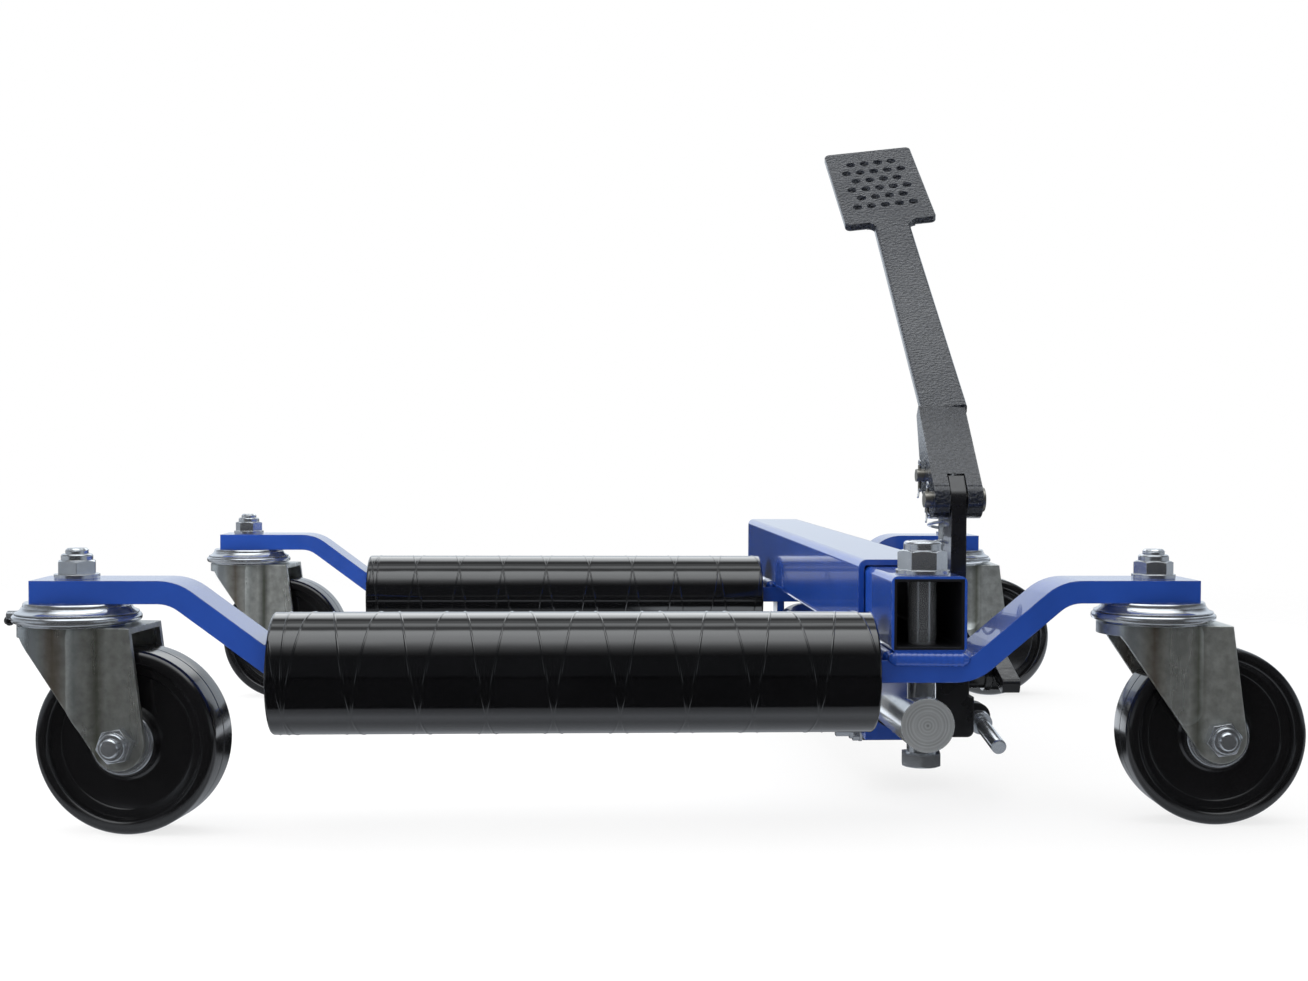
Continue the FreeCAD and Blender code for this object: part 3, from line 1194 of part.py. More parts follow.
def kingpin_bolts(y):
    """The kingpin bolts of one arm's two casters."""
    seat = fork_top - FORK_SHEET - RACE_GAP
    top = arm_high_top + KINGPIN_WASHER_THICKNESS + KINGPIN_NUT_HEIGHT + KINGPIN_TIP
    shape = bolt(KINGPIN, top - seat, KINGPIN_HEAD, KINGPIN_HEAD_HEIGHT)
    return Part.makeCompound([placed(shape, (side * kingpin_x, y, seat)) for side in (-1, 1)])


def kingpin_nuts(y, turns):
    """The lock nuts and washers on top of one arm."""
    solids = []
    for side, turn in zip((-1, 1), turns):
        x = side * kingpin_x
        solids.append(ring((x, y, arm_high_top), (0, 0, 1), KINGPIN_WASHER / 2, KINGPIN / 2 + SEAT_FIT,
                           KINGPIN_WASHER_THICKNESS))
        nut = lock_nut(KINGPIN_NUT, KINGPIN_NUT_HEIGHT, KINGPIN, turn)
        solids.append(placed(nut, (x, y, arm_high_top + KINGPIN_WASHER_THICKNESS)))
    return Part.makeCompound(solids)


def caster_races(y):
    """The upper bearing races clamped under one arm."""
    foot = ring_top + RACE_GAP
    return Part.makeCompound([
        ring((side * kingpin_x, y, foot), (0, 0, 1), RACE_DIAMETER / 2, KINGPIN / 2 + SEAT_FIT,
             CASTER_HEIGHT - foot)
        for side in (-1, 1)])


def build():
    """All pieces by node name, in the construction frame."""
    pieces = {
        "outer_tube": outer_tube(),
        "rear_arm": rear_arm(),
        "rear_arm_welds": rear_arm_welds(),
        "ram_bracket": ram_bracket(),
        "cylinder_head": cylinder_head(),
        "rod_gland": rod_gland(),
        "ram_cylinder": ram_cylinder(),
        "ram_rear_eye": ram_rear_eye(),
        "rear_lugs": rear_lugs(),
        "rear_pin": rear_pin(),
        "clamp_studs": clamp_studs(),
        "pump_block": pump_block(),
        "pump_barrel": pump_barrel(),
        "fulcrum_post": fulcrum_post(),
        "return_spring": return_spring(),
        "release_valve": release_valve(),
        "release_lever": release_lever(),
        "release_spindle": release_spindle(),
        "pedal_lever": pedal_lever(),
        "pivot_pin": lever_pin(pivot_y, pivot_z, PIVOT_PIN),
        "plunger_pin": lever_pin(plunger_pin_y, plunger_pin_z, PLUNGER_PIN),
        "plunger": plunger(),
        "spring_cap": spring_cap(),
        "inner_tube": inner_tube(),
        "front_arm": front_arm(),
        "packing_plate": packing_plate(),
        "front_arm_welds": front_arm_welds(),
        "ram_rod": ram_rod(),
        "piston": piston(),
        "rod_bolt": rod_bolt(),
        "rod_nut": rod_nut(),
    }
    for end, y, left in (("front", 0.0, front_roller_left), ("rear", ARM_SPACING, rear_roller_left)):
        pieces[end + "_roller_tube"] = roller_tube(left, y)
        pieces[end + "_roller_sleeve"] = roller_sleeve(left, y)
        pieces[end + "_roller_bushes"] = roller_bushes(left, y)
        pieces[end + "_kingpin_bolts"] = kingpin_bolts(y)
        pieces[end + "_kingpin_nuts"] = kingpin_nuts(y, KINGPIN_NUT_TURNS[end])
        pieces[end + "_caster_races"] = caster_races(y)
    fork = caster_fork()
    wheel = caster_wheel()
    axle = caster_axle()
    for name in caster_places:
        pieces[name + "_fork"] = at_caster(fork, name)
        pieces[name + "_swivel_ring"] = at_caster(swivel_ring(NIPPLE_TURN[name]), name)
        pieces[name + "_wheel"] = at_caster(wheel, name)
        pieces[name + "_axle"] = at_caster(axle, name)
    return pieces


def main():
    """Move the part's box to the origin and write one file per piece."""
    os.makedirs("parts", exist_ok=True)
    pieces = build()
    whole = FreeCAD.BoundBox()
    for shape in pieces.values():
        whole.add(shape.optimalBoundingBox(False, False))
    shift = V(-whole.Center.x, -whole.Center.y, -whole.ZMin)
    for name, shape in pieces.items():
        moved = shape.copy()
        moved.translate(shift)
        moved.exportStep("parts/" + name + ".step")
    sizes = [round(size, 1) for size in (whole.XLength, whole.YLength, whole.ZLength)]
    print("pieces", len(pieces), "box", *sizes)
    print("shift", round(shift.x, 4), round(shift.y, 4), round(shift.z, 4))
    return shift


shift = main()
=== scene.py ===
"""Looks of a vehicle positioning jack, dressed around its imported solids.

Metres, +Z up, in the part's own frame: X runs along the rollers and the front arm slides along Y.
"""
import json
import math

import bpy
from mathutils import Matrix, Vector


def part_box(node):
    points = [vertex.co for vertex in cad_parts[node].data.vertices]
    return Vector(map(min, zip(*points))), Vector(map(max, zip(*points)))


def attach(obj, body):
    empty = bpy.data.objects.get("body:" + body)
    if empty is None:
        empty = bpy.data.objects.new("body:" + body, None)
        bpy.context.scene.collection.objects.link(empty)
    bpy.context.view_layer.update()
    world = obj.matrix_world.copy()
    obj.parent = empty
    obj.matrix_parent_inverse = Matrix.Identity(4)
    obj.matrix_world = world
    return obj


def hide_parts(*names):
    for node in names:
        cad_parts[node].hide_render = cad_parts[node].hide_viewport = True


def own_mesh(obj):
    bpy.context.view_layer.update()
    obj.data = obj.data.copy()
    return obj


bl_info = {
    "name": "Vehicle positioning jack",
    "version": (1, 0, 0),
    "blender": (4, 5, 0),
    "location": "View3D > Sidebar > Jack",
    "description": "Finishes and small pieces of a hydraulic vehicle positioning jack",
    "category": "Object",
}

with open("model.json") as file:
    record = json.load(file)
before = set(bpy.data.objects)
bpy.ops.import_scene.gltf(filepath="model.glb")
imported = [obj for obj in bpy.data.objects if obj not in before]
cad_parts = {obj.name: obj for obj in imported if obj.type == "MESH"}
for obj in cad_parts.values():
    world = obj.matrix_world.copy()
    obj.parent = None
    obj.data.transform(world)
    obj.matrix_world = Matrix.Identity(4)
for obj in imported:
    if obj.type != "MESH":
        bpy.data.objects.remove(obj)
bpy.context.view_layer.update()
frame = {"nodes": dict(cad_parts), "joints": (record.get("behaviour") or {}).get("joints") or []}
joints = {joint["name"]: joint for joint in frame["joints"]}
CORNERS = ("front_left", "front_right", "rear_left", "rear_right")
WHOLE_TURN = 2 * math.pi
CLEAR_IOR = 1.5
CHIPPED_BLUE = (0.16, 0.22, 0.42, 1.0)
# Painted shade: near black for the inside of the sliding tube
TUBE_INSIDE_SHADE = (0.004, 0.004, 0.006, 1.0)
RUBBED_BLACK = (0.10, 0.10, 0.105, 1.0)
# Rubbed black of the lever's edges, lightened further as a painted highlight
LEVER_RUB_AND_HIGHLIGHT = (0.17, 0.18, 0.20, 1.0)
DIMPLE_SHADE = (0.0008, 0.0008, 0.001, 1.0)
BRIGHT_EDGE = (0.82, 0.83, 0.84, 1.0)
DULL_ZINC = (0.36, 0.345, 0.31, 1.0)
FORK_FLANK = (0.40, 0.45, 0.50, 1.0)
FORK_FLECK = (0.27, 0.25, 0.19, 1.0)
FORK_EDGE = (0.80, 0.82, 0.80, 1.0)
# Bands on a fork, a brown stain, painted shade down the flute and an olive stain: distance from the kingpin, half
# width, share and colour
FORK_BANDS = (
    (-0.007, 0.008, 0.95, (0.13, 0.085, 0.05, 1.0)),
    # Painted shade down the flute
    (0.005, 0.007, 0.60, (0.13, 0.145, 0.15, 1.0)),
    (0.017, 0.005, 0.90, (0.09, 0.095, 0.06, 1.0)),
)
TUBE_RIM = 0.0015
SCUFFED_PLASTIC = (0.035, 0.035, 0.037, 1.0)
GLAND_BRONZE = (0.5, 0.33, 0.14)
CORE_STEEL = (0.05, 0.05, 0.052)
BUSH_NYLON = (0.55, 0.55, 0.50)

# Places where the seams cross the top of each roller, from its left end
SEAM_TOPS = {"front": (0.0324, 0.0213), "rear": (0.0363, 0.0449)}
SEAM_INSET = 0.0016
WHEEL_RADIUS = 0.0500
WHEEL_HALF = 0.0160
WHEEL_BORE = 0.0051
SHOULDER = 0.0045
SHOULDER_STEPS = 8
HUB_HALF = 0.0175
COVER_RADIUS = 0.0172
COVER_CHAMFER = 0.0004
COVER_THICKNESS = 0.0010
SPRING_SIDES = 12
RIPPLE_POINTS = 6
WELD_HALF = 0.0188
WELD_LIFT = 0.0008
WELD_SAG = 0.0006
WELD_OVERRUN = 0.002
RACE_BORE = 0.0063
THREAD_ROOT = 0.0052
THREAD_CREST = 0.0062
THREAD_TURNS = 1.1
THREAD_BELOW_TIP = 0.0029
# Distance that each split pin's short leg is splayed
SPLAYS = {"pivot_pin": 0.0030, "plunger_pin": 0.0018}
SPLIT_PIN_INSET = 0.00225
EYE_RADIUS = 0.0019
EYE_LIFT = 0.0012
EYE_STEPS = 14
CAP_STEPS = 12
CAP_WAIST = 8
CAP_REACH = 0.0383
CAP_LIFT = 0.0012

# Light that gloss sees in the overhead panel: distance behind the front roller and level
PANEL_LEVELS = (
    (-2.6, 0.03), (-2.3, 0.05), (-1.93, 0.14), (-1.56, 0.36), (-1.25, 0.70), (-0.99, 1.35), (-0.75, 2.0),
    (-0.45, 2.2), (-0.20, 2.45), (0.0, 2.4), (0.10, 1.2), (0.17, 0.4), (0.34, 0.35), (0.44, 0.8), (0.53, 1.2),
    (0.68, 1.3), (0.80, 0.55), (0.99, 0.48), (1.20, 0.18), (1.45, 0.25), (1.60, 0.8), (1.83, 1.65),
    (2.3, 1.85), (3.1, 2.0), (5.0, 1.4),
)
PANEL_START, PANEL_END = PANEL_LEVELS[0][0], PANEL_LEVELS[-1][0]
PANEL_LENGTH = PANEL_END - PANEL_START
PANEL_WIDTH = 3.2
PANEL_HEIGHT = 1.945
PANEL_BRIGHTEST = 2.5
PANEL_SIDES = 0.4
MIRROR_TINT = (0.88, 0.93, 1.0, 1.0)
SKY_TINT = (0.88, 0.96, 1.05, 1.0)
WHITE = (1.0, 1.0, 1.0, 1.0)
CAMERA_PLACE = (-0.0554846, -1.21695, 0.2065)
CAMERA_YAW, CAMERA_PITCH, CAMERA_ROLL = math.radians(3.12), math.radians(1.34), math.radians(0.24)
SENSOR_WIDTH = 36.0
FOCAL_PIXELS = 1650.0
PICTURE_PIXELS = 1308.0


def size_of(label, default, what):
    """A length that a user may change."""
    return bpy.props.FloatProperty(name=label, description=what, default=default, min=0.0, subtype="DISTANCE",
                                   unit="LENGTH", precision=5)


def colour_of(label, default, what):
    """A colour that a user may change."""
    return bpy.props.FloatVectorProperty(name=label, description=what, default=default, size=4, min=0.0, max=1.0,
                                         subtype="COLOR")


def power_of(label, default, what):
    """A lamp's power that a user may change."""
    return bpy.props.FloatProperty(name=label, description=what, default=default, min=0.0, subtype="POWER")


class JackFinishes(bpy.types.PropertyGroup):
    """Colours of the jack's paints, metals and plastics."""
    blue: colour_of("Blue paint", (0.009, 0.050, 0.285, 1.0), "Gloss paint of the tubes and arms")
    black: colour_of("Black paint", (0.0065, 0.0065, 0.0075, 1.0), "Gloss paint of the pump")
    lever: colour_of("Lever black", (0.0095, 0.0118, 0.0190, 1.0), "Rough black of the cast foot lever")
    zinc: colour_of("Bright zinc", (0.66, 0.69, 0.73, 1.0), "Plating of the nuts, bolts and rings")
    fork: colour_of("Fork zinc", (0.54, 0.56, 0.54, 1.0), "Dull plating of the caster forks")
    steel: colour_of("Ground steel", (0.74, 0.77, 0.79, 1.0), "Bright rod of the ram and plunger")
    roller: colour_of("Roller black", (0.0020, 0.0020, 0.0023, 1.0), "Gloss wrap of the rollers")
    wheel: colour_of("Wheel black", (0.0042, 0.0041, 0.0045, 1.0), "Moulded caster wheels")


class JackRollers(bpy.types.PropertyGroup):
    """Sizes of the crossing seams on the rollers."""
    pitch: size_of("Seam pitch", 0.036, "Advance of one seam in a whole turn")
    width: size_of("Seam width", 0.0013, "Width of a seam at the roller's surface")
    height: size_of("Seam height", 0.00029, "Height of a seam above the roller's surface")
    end_ring: size_of("End ring", 0.009, "Distance of the ring seam from the roller's left end")


class JackWheels(bpy.types.PropertyGroup):
    """Sizes of the moulded details of the caster wheels."""
    lip: size_of("Lip radius", 0.0432, "Radius of the edge between the rim's lip and the web")
    step: size_of("Step radius", 0.0370, "Radius of the fine step on the web")
    parting: size_of("Parting line", 0.00035, "Depth of the parting line round the tread")


class JackSpring(bpy.types.PropertyGroup):
    """Sizes of the pedal's return spring."""
    wire: size_of("Wire", 0.0020, "Thickness of the spring's wire")
    end_pitch: size_of("End pitch", 0.0027, "Climb of the close turn at each end")
    turns: bpy.props.FloatProperty(name="Turns", description="Turns of the wire from end to end", default=4.69,
                                   min=2.5, max=12.0)


class JackSmallParts(bpy.types.PropertyGroup):
    """Sizes of the welds, threads, split pins and grease caps."""
    bead: size_of("Weld bead", 0.0042, "Radius of a weld bead")
    ripple: size_of("Weld ripple", 0.0032, "Spacing of the ripples along a bead")
    thread_pitch: size_of("Thread pitch", 0.00175, "Climb of one turn of thread on a bolt's tip")
    split_wire: size_of("Split pin wire", 0.0012, "Thickness of one leg of a split pin")
    grease_cap: size_of("Grease cap", 0.0029, "Radius of the black cap on a grease nipple")


class JackStage(bpy.types.PropertyGroup):
    """Floor, lamps and background."""
    floor: colour_of("Floor", (0.86, 0.86, 0.86, 1.0), "Pale floor under the jack")
    overhead: power_of("Overhead", 28.0, "Power of the overhead soft box in watts")
    front: power_of("Front fill", 15.0, "Power of the soft fill from the front in watts")
    left: power_of("Left fill", 34.0, "Power of the soft fill from the left in watts")


def deselect():
    """Leave nothing selected and object mode on."""
    if bpy.context.object is not None and bpy.context.object.mode != "OBJECT":
        bpy.ops.object.mode_set(mode="OBJECT")
    bpy.ops.object.select_all(action="DESELECT")


def only(piece):
    """Make one piece the selected and active one."""
    deselect()
    piece.select_set(True)
    bpy.context.view_layer.objects.active = piece


def apply_modifier(piece, kind, **settings):
    """Add a modifier with its settings and apply it."""
    only(piece)
    modifier = piece.modifiers.new(kind.title(), kind)
    for key, value in settings.items():
        setattr(modifier, key, value)
    bpy.ops.object.modifier_apply(modifier=modifier.name)


def settle(piece, name, material, smooth=40.0):
    """Name a piece, put its place into its mesh and give it its finish."""
    only(piece)
    bpy.ops.object.transform_apply(location=True, rotation=True, scale=True)
    piece.name = name
    piece.data.name = name
    piece.data.materials.clear()
    piece.data.materials.append(material)
    bpy.ops.object.shade_smooth_by_angle(angle=math.radians(smooth))
    return piece


def turn_to(piece, centre, axis):
    """Carry a piece that was modelled round +Z at the origin to a centre and an axis."""
    piece.rotation_mode = "QUATERNION"
    piece.rotation_quaternion = Vector((0, 0, 1)).rotation_difference(Vector(axis).normalized())
    piece.location = Vector(centre)


def chain(points):
    """A chain of edges drawn point by point from one vertex."""
    deselect()
    bpy.ops.mesh.primitive_plane_add(size=0.001)
    piece = bpy.context.object
    bpy.ops.object.mode_set(mode="EDIT")
    bpy.ops.mesh.select_mode(type="VERT")
    bpy.ops.mesh.select_all(action="SELECT")
    bpy.ops.mesh.merge(type="CENTER")
    bpy.ops.transform.translate(value=points[0])
    for start, stop in zip(points, points[1:]):
        step = Vector(stop) - Vector(start)
        bpy.ops.mesh.extrude_vertices_move(TRANSFORM_OT_translate={"value": step})
    bpy.ops.object.mode_set(mode="OBJECT")
    return piece


def outline_piece(points):
    """A chain of edges in the XZ plane."""
    return chain([(r, 0.0, z) for r, z in points])


def edit_all():
    """Enter edit mode with the whole piece selected."""
    bpy.ops.object.mode_set(mode="EDIT")
    bpy.ops.mesh.select_all(action="SELECT")


def close_up(gap=None):
    """Join points within a gap, turn all faces outwards and leave edit mode."""
    bpy.ops.mesh.select_all(action="SELECT")
    if gap is not None:
        bpy.ops.mesh.remove_doubles(threshold=gap)
    bpy.ops.mesh.normals_make_consistent(inside=False)
    bpy.ops.object.mode_set(mode="OBJECT")


def wire(points, thickness):
    """A round wire along points, with closed ends."""
    piece = chain(points)
    only(piece)
    bpy.ops.object.convert(target="CURVE")
    piece = bpy.context.object
    piece.data.bevel_depth = thickness / 2
    piece.data.bevel_resolution = 3
    piece.data.use_fill_caps = True
    bpy.ops.object.convert(target="MESH")
    edit_all()
    close_up(1e-7)
    return bpy.context.object


def joined(pieces):
    """Several pieces made one."""
    only(pieces[0])
    for piece in pieces:
        piece.select_set(True)
    bpy.ops.object.join()
    return bpy.context.object


def copies(*models, count=len(CORNERS)):
    """Sets of pieces: the models themselves, then copies of them, each with its own mesh."""
    sets = [models]
    while len(sets) < count:
        pieces = [model.copy() for model in models]
        for piece in pieces:
            piece.data = piece.data.copy()
            bpy.context.collection.objects.link(piece)
        sets.append(pieces)
    return sets


def lathe(points, steps):
    """A closed outline spun round the Z axis."""
    piece = outline_piece(points)
    edit_all()
    bpy.ops.mesh.spin(steps=steps, angle=WHOLE_TURN, center=(0, 0, 0), axis=(0, 0, 1))
    close_up(1e-6)
    return piece


def helix(points, turns, rise, steps_a_turn, phase=0.0):
    """A closed outline wound round the Z axis, with its two ends closed."""
    piece = outline_piece(points + points[:1])
    edit_all()
    bpy.ops.mesh.remove_doubles(threshold=1e-7)
    bpy.ops.transform.rotate(value=-phase, orient_axis="Z", center_override=(0, 0, 0))
    bpy.ops.object.mode_set(mode="OBJECT")
    steps = max(8, round(abs(turns) * steps_a_turn))
    apply_modifier(piece, "SCREW", axis="Z", angle=turns * WHOLE_TURN, screw_offset=rise, steps=steps,
                   render_steps=steps)
    bpy.ops.object.mode_set(mode="EDIT")
    bpy.ops.mesh.select_all(action="DESELECT")
    bpy.ops.mesh.select_mode(type="EDGE")
    bpy.ops.mesh.select_non_manifold(extend=False)
    bpy.ops.mesh.edge_face_add()
    close_up()
    return piece


def weld_bead(start, stop, radius, ripple):
    """A rippled bead between two points, thinner towards its ends."""
    run = Vector(stop) - Vector(start)
    count = max(3, round(run.length / ripple)) * RIPPLE_POINTS
    outline = [(0.0, 0.0)]
    for index in range(1, count):
        along = run.length * index / count
        scallop = 0.94 + 0.06 * abs(math.sin(math.pi * index / RIPPLE_POINTS))
        end = min(1.0, math.sqrt(min(along, run.length - along) / radius))
        outline.append((radius * scallop * end, along))
    bead = lathe(outline + [(0.0, run.length)], 24)
    turn_to(bead, start, run)
    only(bead)
    bpy.ops.object.transform_apply(location=True, rotation=True, scale=True)
    return bead


def put(tree, kind, inputs=None, **settings):
    """Add a shader node with its settings and give its outputs; an input is a value or another node's output."""
    node = tree.nodes.new("ShaderNode" + kind)
    for key, value in settings.items():
        setattr(node, key, value)
    for key, value in (inputs or {}).items():
        if isinstance(value, bpy.types.NodeSocket):
            tree.links.new(value, node.inputs[key])
        else:
            node.inputs[key].default_value = value
    return node.outputs


def maths(tree, operation, first, second=0.0):
    """The value of one sum."""
    return put(tree, "Math", {0: first, 1: second}, operation=operation)[0]


def times(tree, first, second):
    """The product of two values."""
    return maths(tree, "MULTIPLY", first, second)


def blend_colour(tree, share, first, second):
    """A colour between two, by a share."""
    return put(tree, "Mix", {0: share, 6: first, 7: second}, data_type="RGBA")[2]


def blend_value(tree, share, first, second):
    """A value between two, by a share."""
    return put(tree, "Mix", {0: share, 2: first, 3: second}, data_type="FLOAT")[0]


def spread(tree, value, low=0.0, high=1.0, to_low=0.0, to_high=1.0, kind="LINEAR"):
    """A value stretched from one range to another and kept inside it."""
    inputs = {"Value": value, "From Min": low, "From Max": high, "To Min": to_low, "To Max": to_high}
    return put(tree, "MapRange", inputs, interpolation_type=kind)[0]


def noise(tree, vector, scale, detail, roughness=0.5):
    """Clouds of soft noise."""
    return put(tree, "TexNoise", {"Vector": vector, "Scale": scale, "Detail": detail, "Roughness": roughness})[0]


def new_group(name, inputs, outputs):
    """An empty shader group; sockets called Vector or Normal are vectors and the others are numbers."""
    tree = bpy.data.node_groups.new(name, "ShaderNodeTree")
    for way, labels in (("INPUT", inputs), ("OUTPUT", outputs)):
        for label in labels:
            kind = "Vector" if label in ("Vector", "Normal") else "Float"
            tree.interface.new_socket(label, in_out=way, socket_type="NodeSocket" + kind)
    return tree, tree.nodes.new("NodeGroupInput").outputs, tree.nodes.new("NodeGroupOutput").inputs


def edge_group():
    """Rounded edges: a softened normal, and a mask that breaks up along the edges."""
    tree, given, out = new_group("Soft edges", ("Reach", "Amount", "Scale"), ("Mask", "Normal"))
    bevel = put(tree, "Bevel", {"Radius": given["Reach"]}, samples=4)[0]
    flat = put(tree, "NewGeometry")["Normal"]
    along = put(tree, "VectorMath", {0: bevel, 1: flat}, operation="DOT_PRODUCT")["Value"]
    edge = spread(tree, along, 0.995, 0.86)
    broken = spread(tree, noise(tree, put(tree, "TexCoord")["Object"], given["Scale"], 5.0), 0.46, 0.62)
    tree.links.new(times(tree, times(tree, edge, broken), given["Amount"]), out["Mask"])
    tree.links.new(bevel, out["Normal"])


def blotch_group():
    """Soft clouds of tone, with finer flecks over them."""
    tree, given, out = new_group("Blotches", ("Vector", "Scale", "Fleck scale"), ("Cloud", "Fleck"))
    cloud = noise(tree, given["Vector"], given["Scale"], 4.0, 0.55)
    fleck = noise(tree, given["Vector"], given["Fleck scale"], 3.0, 0.7)
    tree.links.new(spread(tree, cloud, 0.32, 0.68), out["Cloud"])
    tree.links.new(spread(tree, fleck, 0.38, 0.66), out["Fleck"])


def grain_group():
    """The skin of a casting or of sprayed paint: rounded bumps with finer pits."""
    tree, given, out = new_group("Skin", ("Vector", "Scale", "Pits"), ("Height",))
    bumps = noise(tree, given["Vector"], given["Scale"], 2.0)
    cells = put(tree, "TexVoronoi", {"Vector": given["Vector"], "Scale": given["Scale"]}, feature="SMOOTH_F1")
    tree.links.new(maths(tree, "ADD", bumps, times(tree, cells["Distance"], given["Pits"])), out["Height"])


def ring_group():
    """Fine turning marks round an axis, from the distance to it."""
    tree, given, out = new_group("Turned rings", ("Vector", "Rings"), ("Height", "Distance"))
    away = put(tree, "VectorMath", {0: given["Vector"]}, operation="LENGTH")["Value"]
    jitter = put(tree, "TexNoise", {"W": times(tree, away, 700.0), "Scale": 1.0, "Detail": 3.0},
                 noise_dimensions="1D")[0]
    wave = maths(tree, "SINE", times(tree, away, times(tree, given["Rings"], WHOLE_TURN)))
    tree.links.new(maths(tree, "ADD", jitter, times(tree, wave, 0.12)), out["Height"])
    tree.links.new(away, out["Distance"])


def bare_material(name):
    """A new material, its emptied tree and its output."""
    material = bpy.data.materials.new(name)
    material.use_nodes = True
    tree = material.node_tree
    tree.nodes.clear()
    return material, tree, tree.nodes.new("ShaderNodeOutputMaterial")


class Finish:
    """One material under construction: its tree, its shader and the part's coordinates."""

    def __init__(self, name, **sockets):
        self.material, self.tree, out = bare_material(name)
        self.shader = self.tree.nodes.new("ShaderNodeBsdfPrincipled")
        self.tree.links.new(self.shader.outputs[0], out.inputs[0])
        self.coords = put(self.tree, "TexCoord")["Object"]
        for key, value in sockets.items():
            self.shader.inputs[key.replace("_", " ").title().replace("Ior", "IOR")].default_value = value

    def group(self, name, **inputs):
        """Place a shader group; words of an input's name are joined by underscores."""
        named = {key.replace("_", " ").capitalize(): value for key, value in inputs.items()}
        return put(self.tree, "Group", named, node_tree=bpy.data.node_groups[name])

    def mapped(self, place=(0, 0, 0), stretch=(1, 1, 1)):
        """The part's coordinates moved to a centre and stretched."""
        shift = [-a * b for a, b in zip(place, stretch)]
        inputs = {"Vector": self.coords, "Location": shift, "Scale": stretch}
        return put(self.tree, "Mapping", inputs)[0]

    def blotches(self, scale, fleck_scale, vector=None):
        """Clouds and flecks of tone."""
        place = self.coords if vector is None else vector
        return self.group("Blotches", vector=place, scale=scale, fleck_scale=fleck_scale)

    def edges(self, reach, amount, scale):
        """A mask and a softened normal along the edges."""
        return self.group("Soft edges", reach=reach, amount=amount, scale=scale)

    def skin(self, scale, pits, stretch=(1, 1, 1)):
        """The height of a grainy skin."""
        return self.group("Skin", vector=self.mapped(stretch=stretch), scale=scale, pits=pits)["Height"]

    def blend(self, share, first, second):
        """A colour between two, by a share."""
        return blend_colour(self.tree, share, first, second)

    def feed(self, socket, value):
        """Lead a value or colour into the shader."""
        self.tree.links.new(value, self.shader.inputs[socket])

    def rough(self, value, low, high):
        """Lead a roughness into the shader that runs from low to high with a value."""
        self.feed("Roughness", spread(self.tree, value, 0.0, 1.0, low, high))

    def bump(self, height, strength, depth, normal=None):
        """Lead a height into the shader's normal."""
        inputs = {"Height": height, "Strength": strength, "Distance": depth}
        if normal is not None:
            inputs["Normal"] = normal
        self.feed("Normal", put(self.tree, "Bump", inputs)[0])


def toned(colour, share):
    """A colour made darker or lighter, kept opaque."""
    return tuple(min(1.0, part * share) for part in colour[:3]) + (1.0,)


def blue_paint(name, colour, shaded_hollow=None):
    """Thick gloss paint, thin and chipped along the edges; a hollow, a centre and half width, is bare, rougher and
    without clear coat, and painted near black for the shade inside it.
    """
    paint = Finish(name, coat_weight=1.0, coat_roughness=0.03, coat_ior=CLEAR_IOR)
    tree = paint.tree
    tones = paint.blotches(scale=22.0, fleck_scale=420.0)
    edges = paint.edges(reach=0.0011, amount=0.65, scale=170.0)
    base = paint.blend(tones["Cloud"], toned(colour, 0.90), toned(colour, 1.12))
    base = paint.blend(edges["Mask"], base, CHIPPED_BLUE)
    rough = spread(tree, tones["Fleck"], 0.0, 1.0, 0.25, 0.27)
    if shaded_hollow is not None:
        centre, half = shaded_hollow
        away = put(tree, "VectorMath", {0: paint.mapped(centre)}, operation="ABSOLUTE")[0]
        parts = put(tree, "SeparateXYZ", {0: away})
        inside = maths(tree, "LESS_THAN", maths(tree, "MAXIMUM", parts["X"], parts["Z"]), half)
        # Painted shade: the inside of the tube is coloured near black; it is also left bare, rougher and without
        # clear coat
        base = paint.blend(inside, base, TUBE_INSIDE_SHADE)
        rough = maths(tree, "ADD", rough, times(tree, inside, 0.35))
        paint.feed("Coat Weight", maths(tree, "SUBTRACT", 1.0, inside))
    paint.feed("Base Color", base)
    paint.feed("Roughness", rough)
    paint.bump(paint.skin(scale=120.0, pits=0.2), 0.006, 0.0005, edges["Normal"])
    return paint.material


def black_paint(name, colour, gloss):
    """Black paint over rough castings, with runs and rubbed edges; gloss is the share of its clear skin."""
    paint = Finish(name, coat_weight=gloss, coat_roughness=0.05, coat_ior=CLEAR_IOR)
    tones = paint.blotches(scale=40.0, fleck_scale=500.0)
    edges = paint.edges(reach=0.0013, amount=0.55, scale=260.0)
    base = paint.blend(tones["Cloud"], colour, toned(colour, 1.7))
    paint.feed("Base Color", paint.blend(edges["Mask"], base, RUBBED_BLACK))
    paint.rough(tones["Cloud"], 0.24, 0.34)
    paint.bump(paint.skin(scale=210.0, pits=0.5, stretch=(1.0, 1.0, 0.6)), 0.16, 0.0012, edges["Normal"])
    return paint.material


def lever_skin(colour):
    """Black paint over the grainy skin of a casting, with painted shade in its dimples and a painted highlight over
    rubbed paint along its edges.
    """
    paint = Finish("lever_cast_black", coat_weight=0.9, coat_roughness=0.10)
    tones = paint.blotches(scale=60.0, fleck_scale=700.0)
    edges = paint.edges(reach=0.0013, amount=0.9, scale=300.0)
    # Painted shade: ambient occlusion darkens the colour in the dimples and other hollows
    shade = put(paint.tree, "AmbientOcclusion", {"Distance": 0.004}, samples=8)["AO"]
    base = paint.blend(tones["Fleck"], toned(colour, 0.55), toned(colour, 1.35))
    # Painted highlight over rubbed paint: every edge of the lever is lightened
    base = paint.blend(edges["Mask"], base, LEVER_RUB_AND_HIGHLIGHT)
    open_air = spread(paint.tree, shade, 0.35, 0.80)
    paint.feed("Base Color", paint.blend(open_air, DIMPLE_SHADE, base))
    paint.rough(tones["Cloud"], 0.22, 0.32)
    paint.bump(paint.skin(scale=620.0, pits=0.9, stretch=(0.75, 1.0, 1.0)), 1.0, 0.0024, edges["Normal"])
    return paint.material


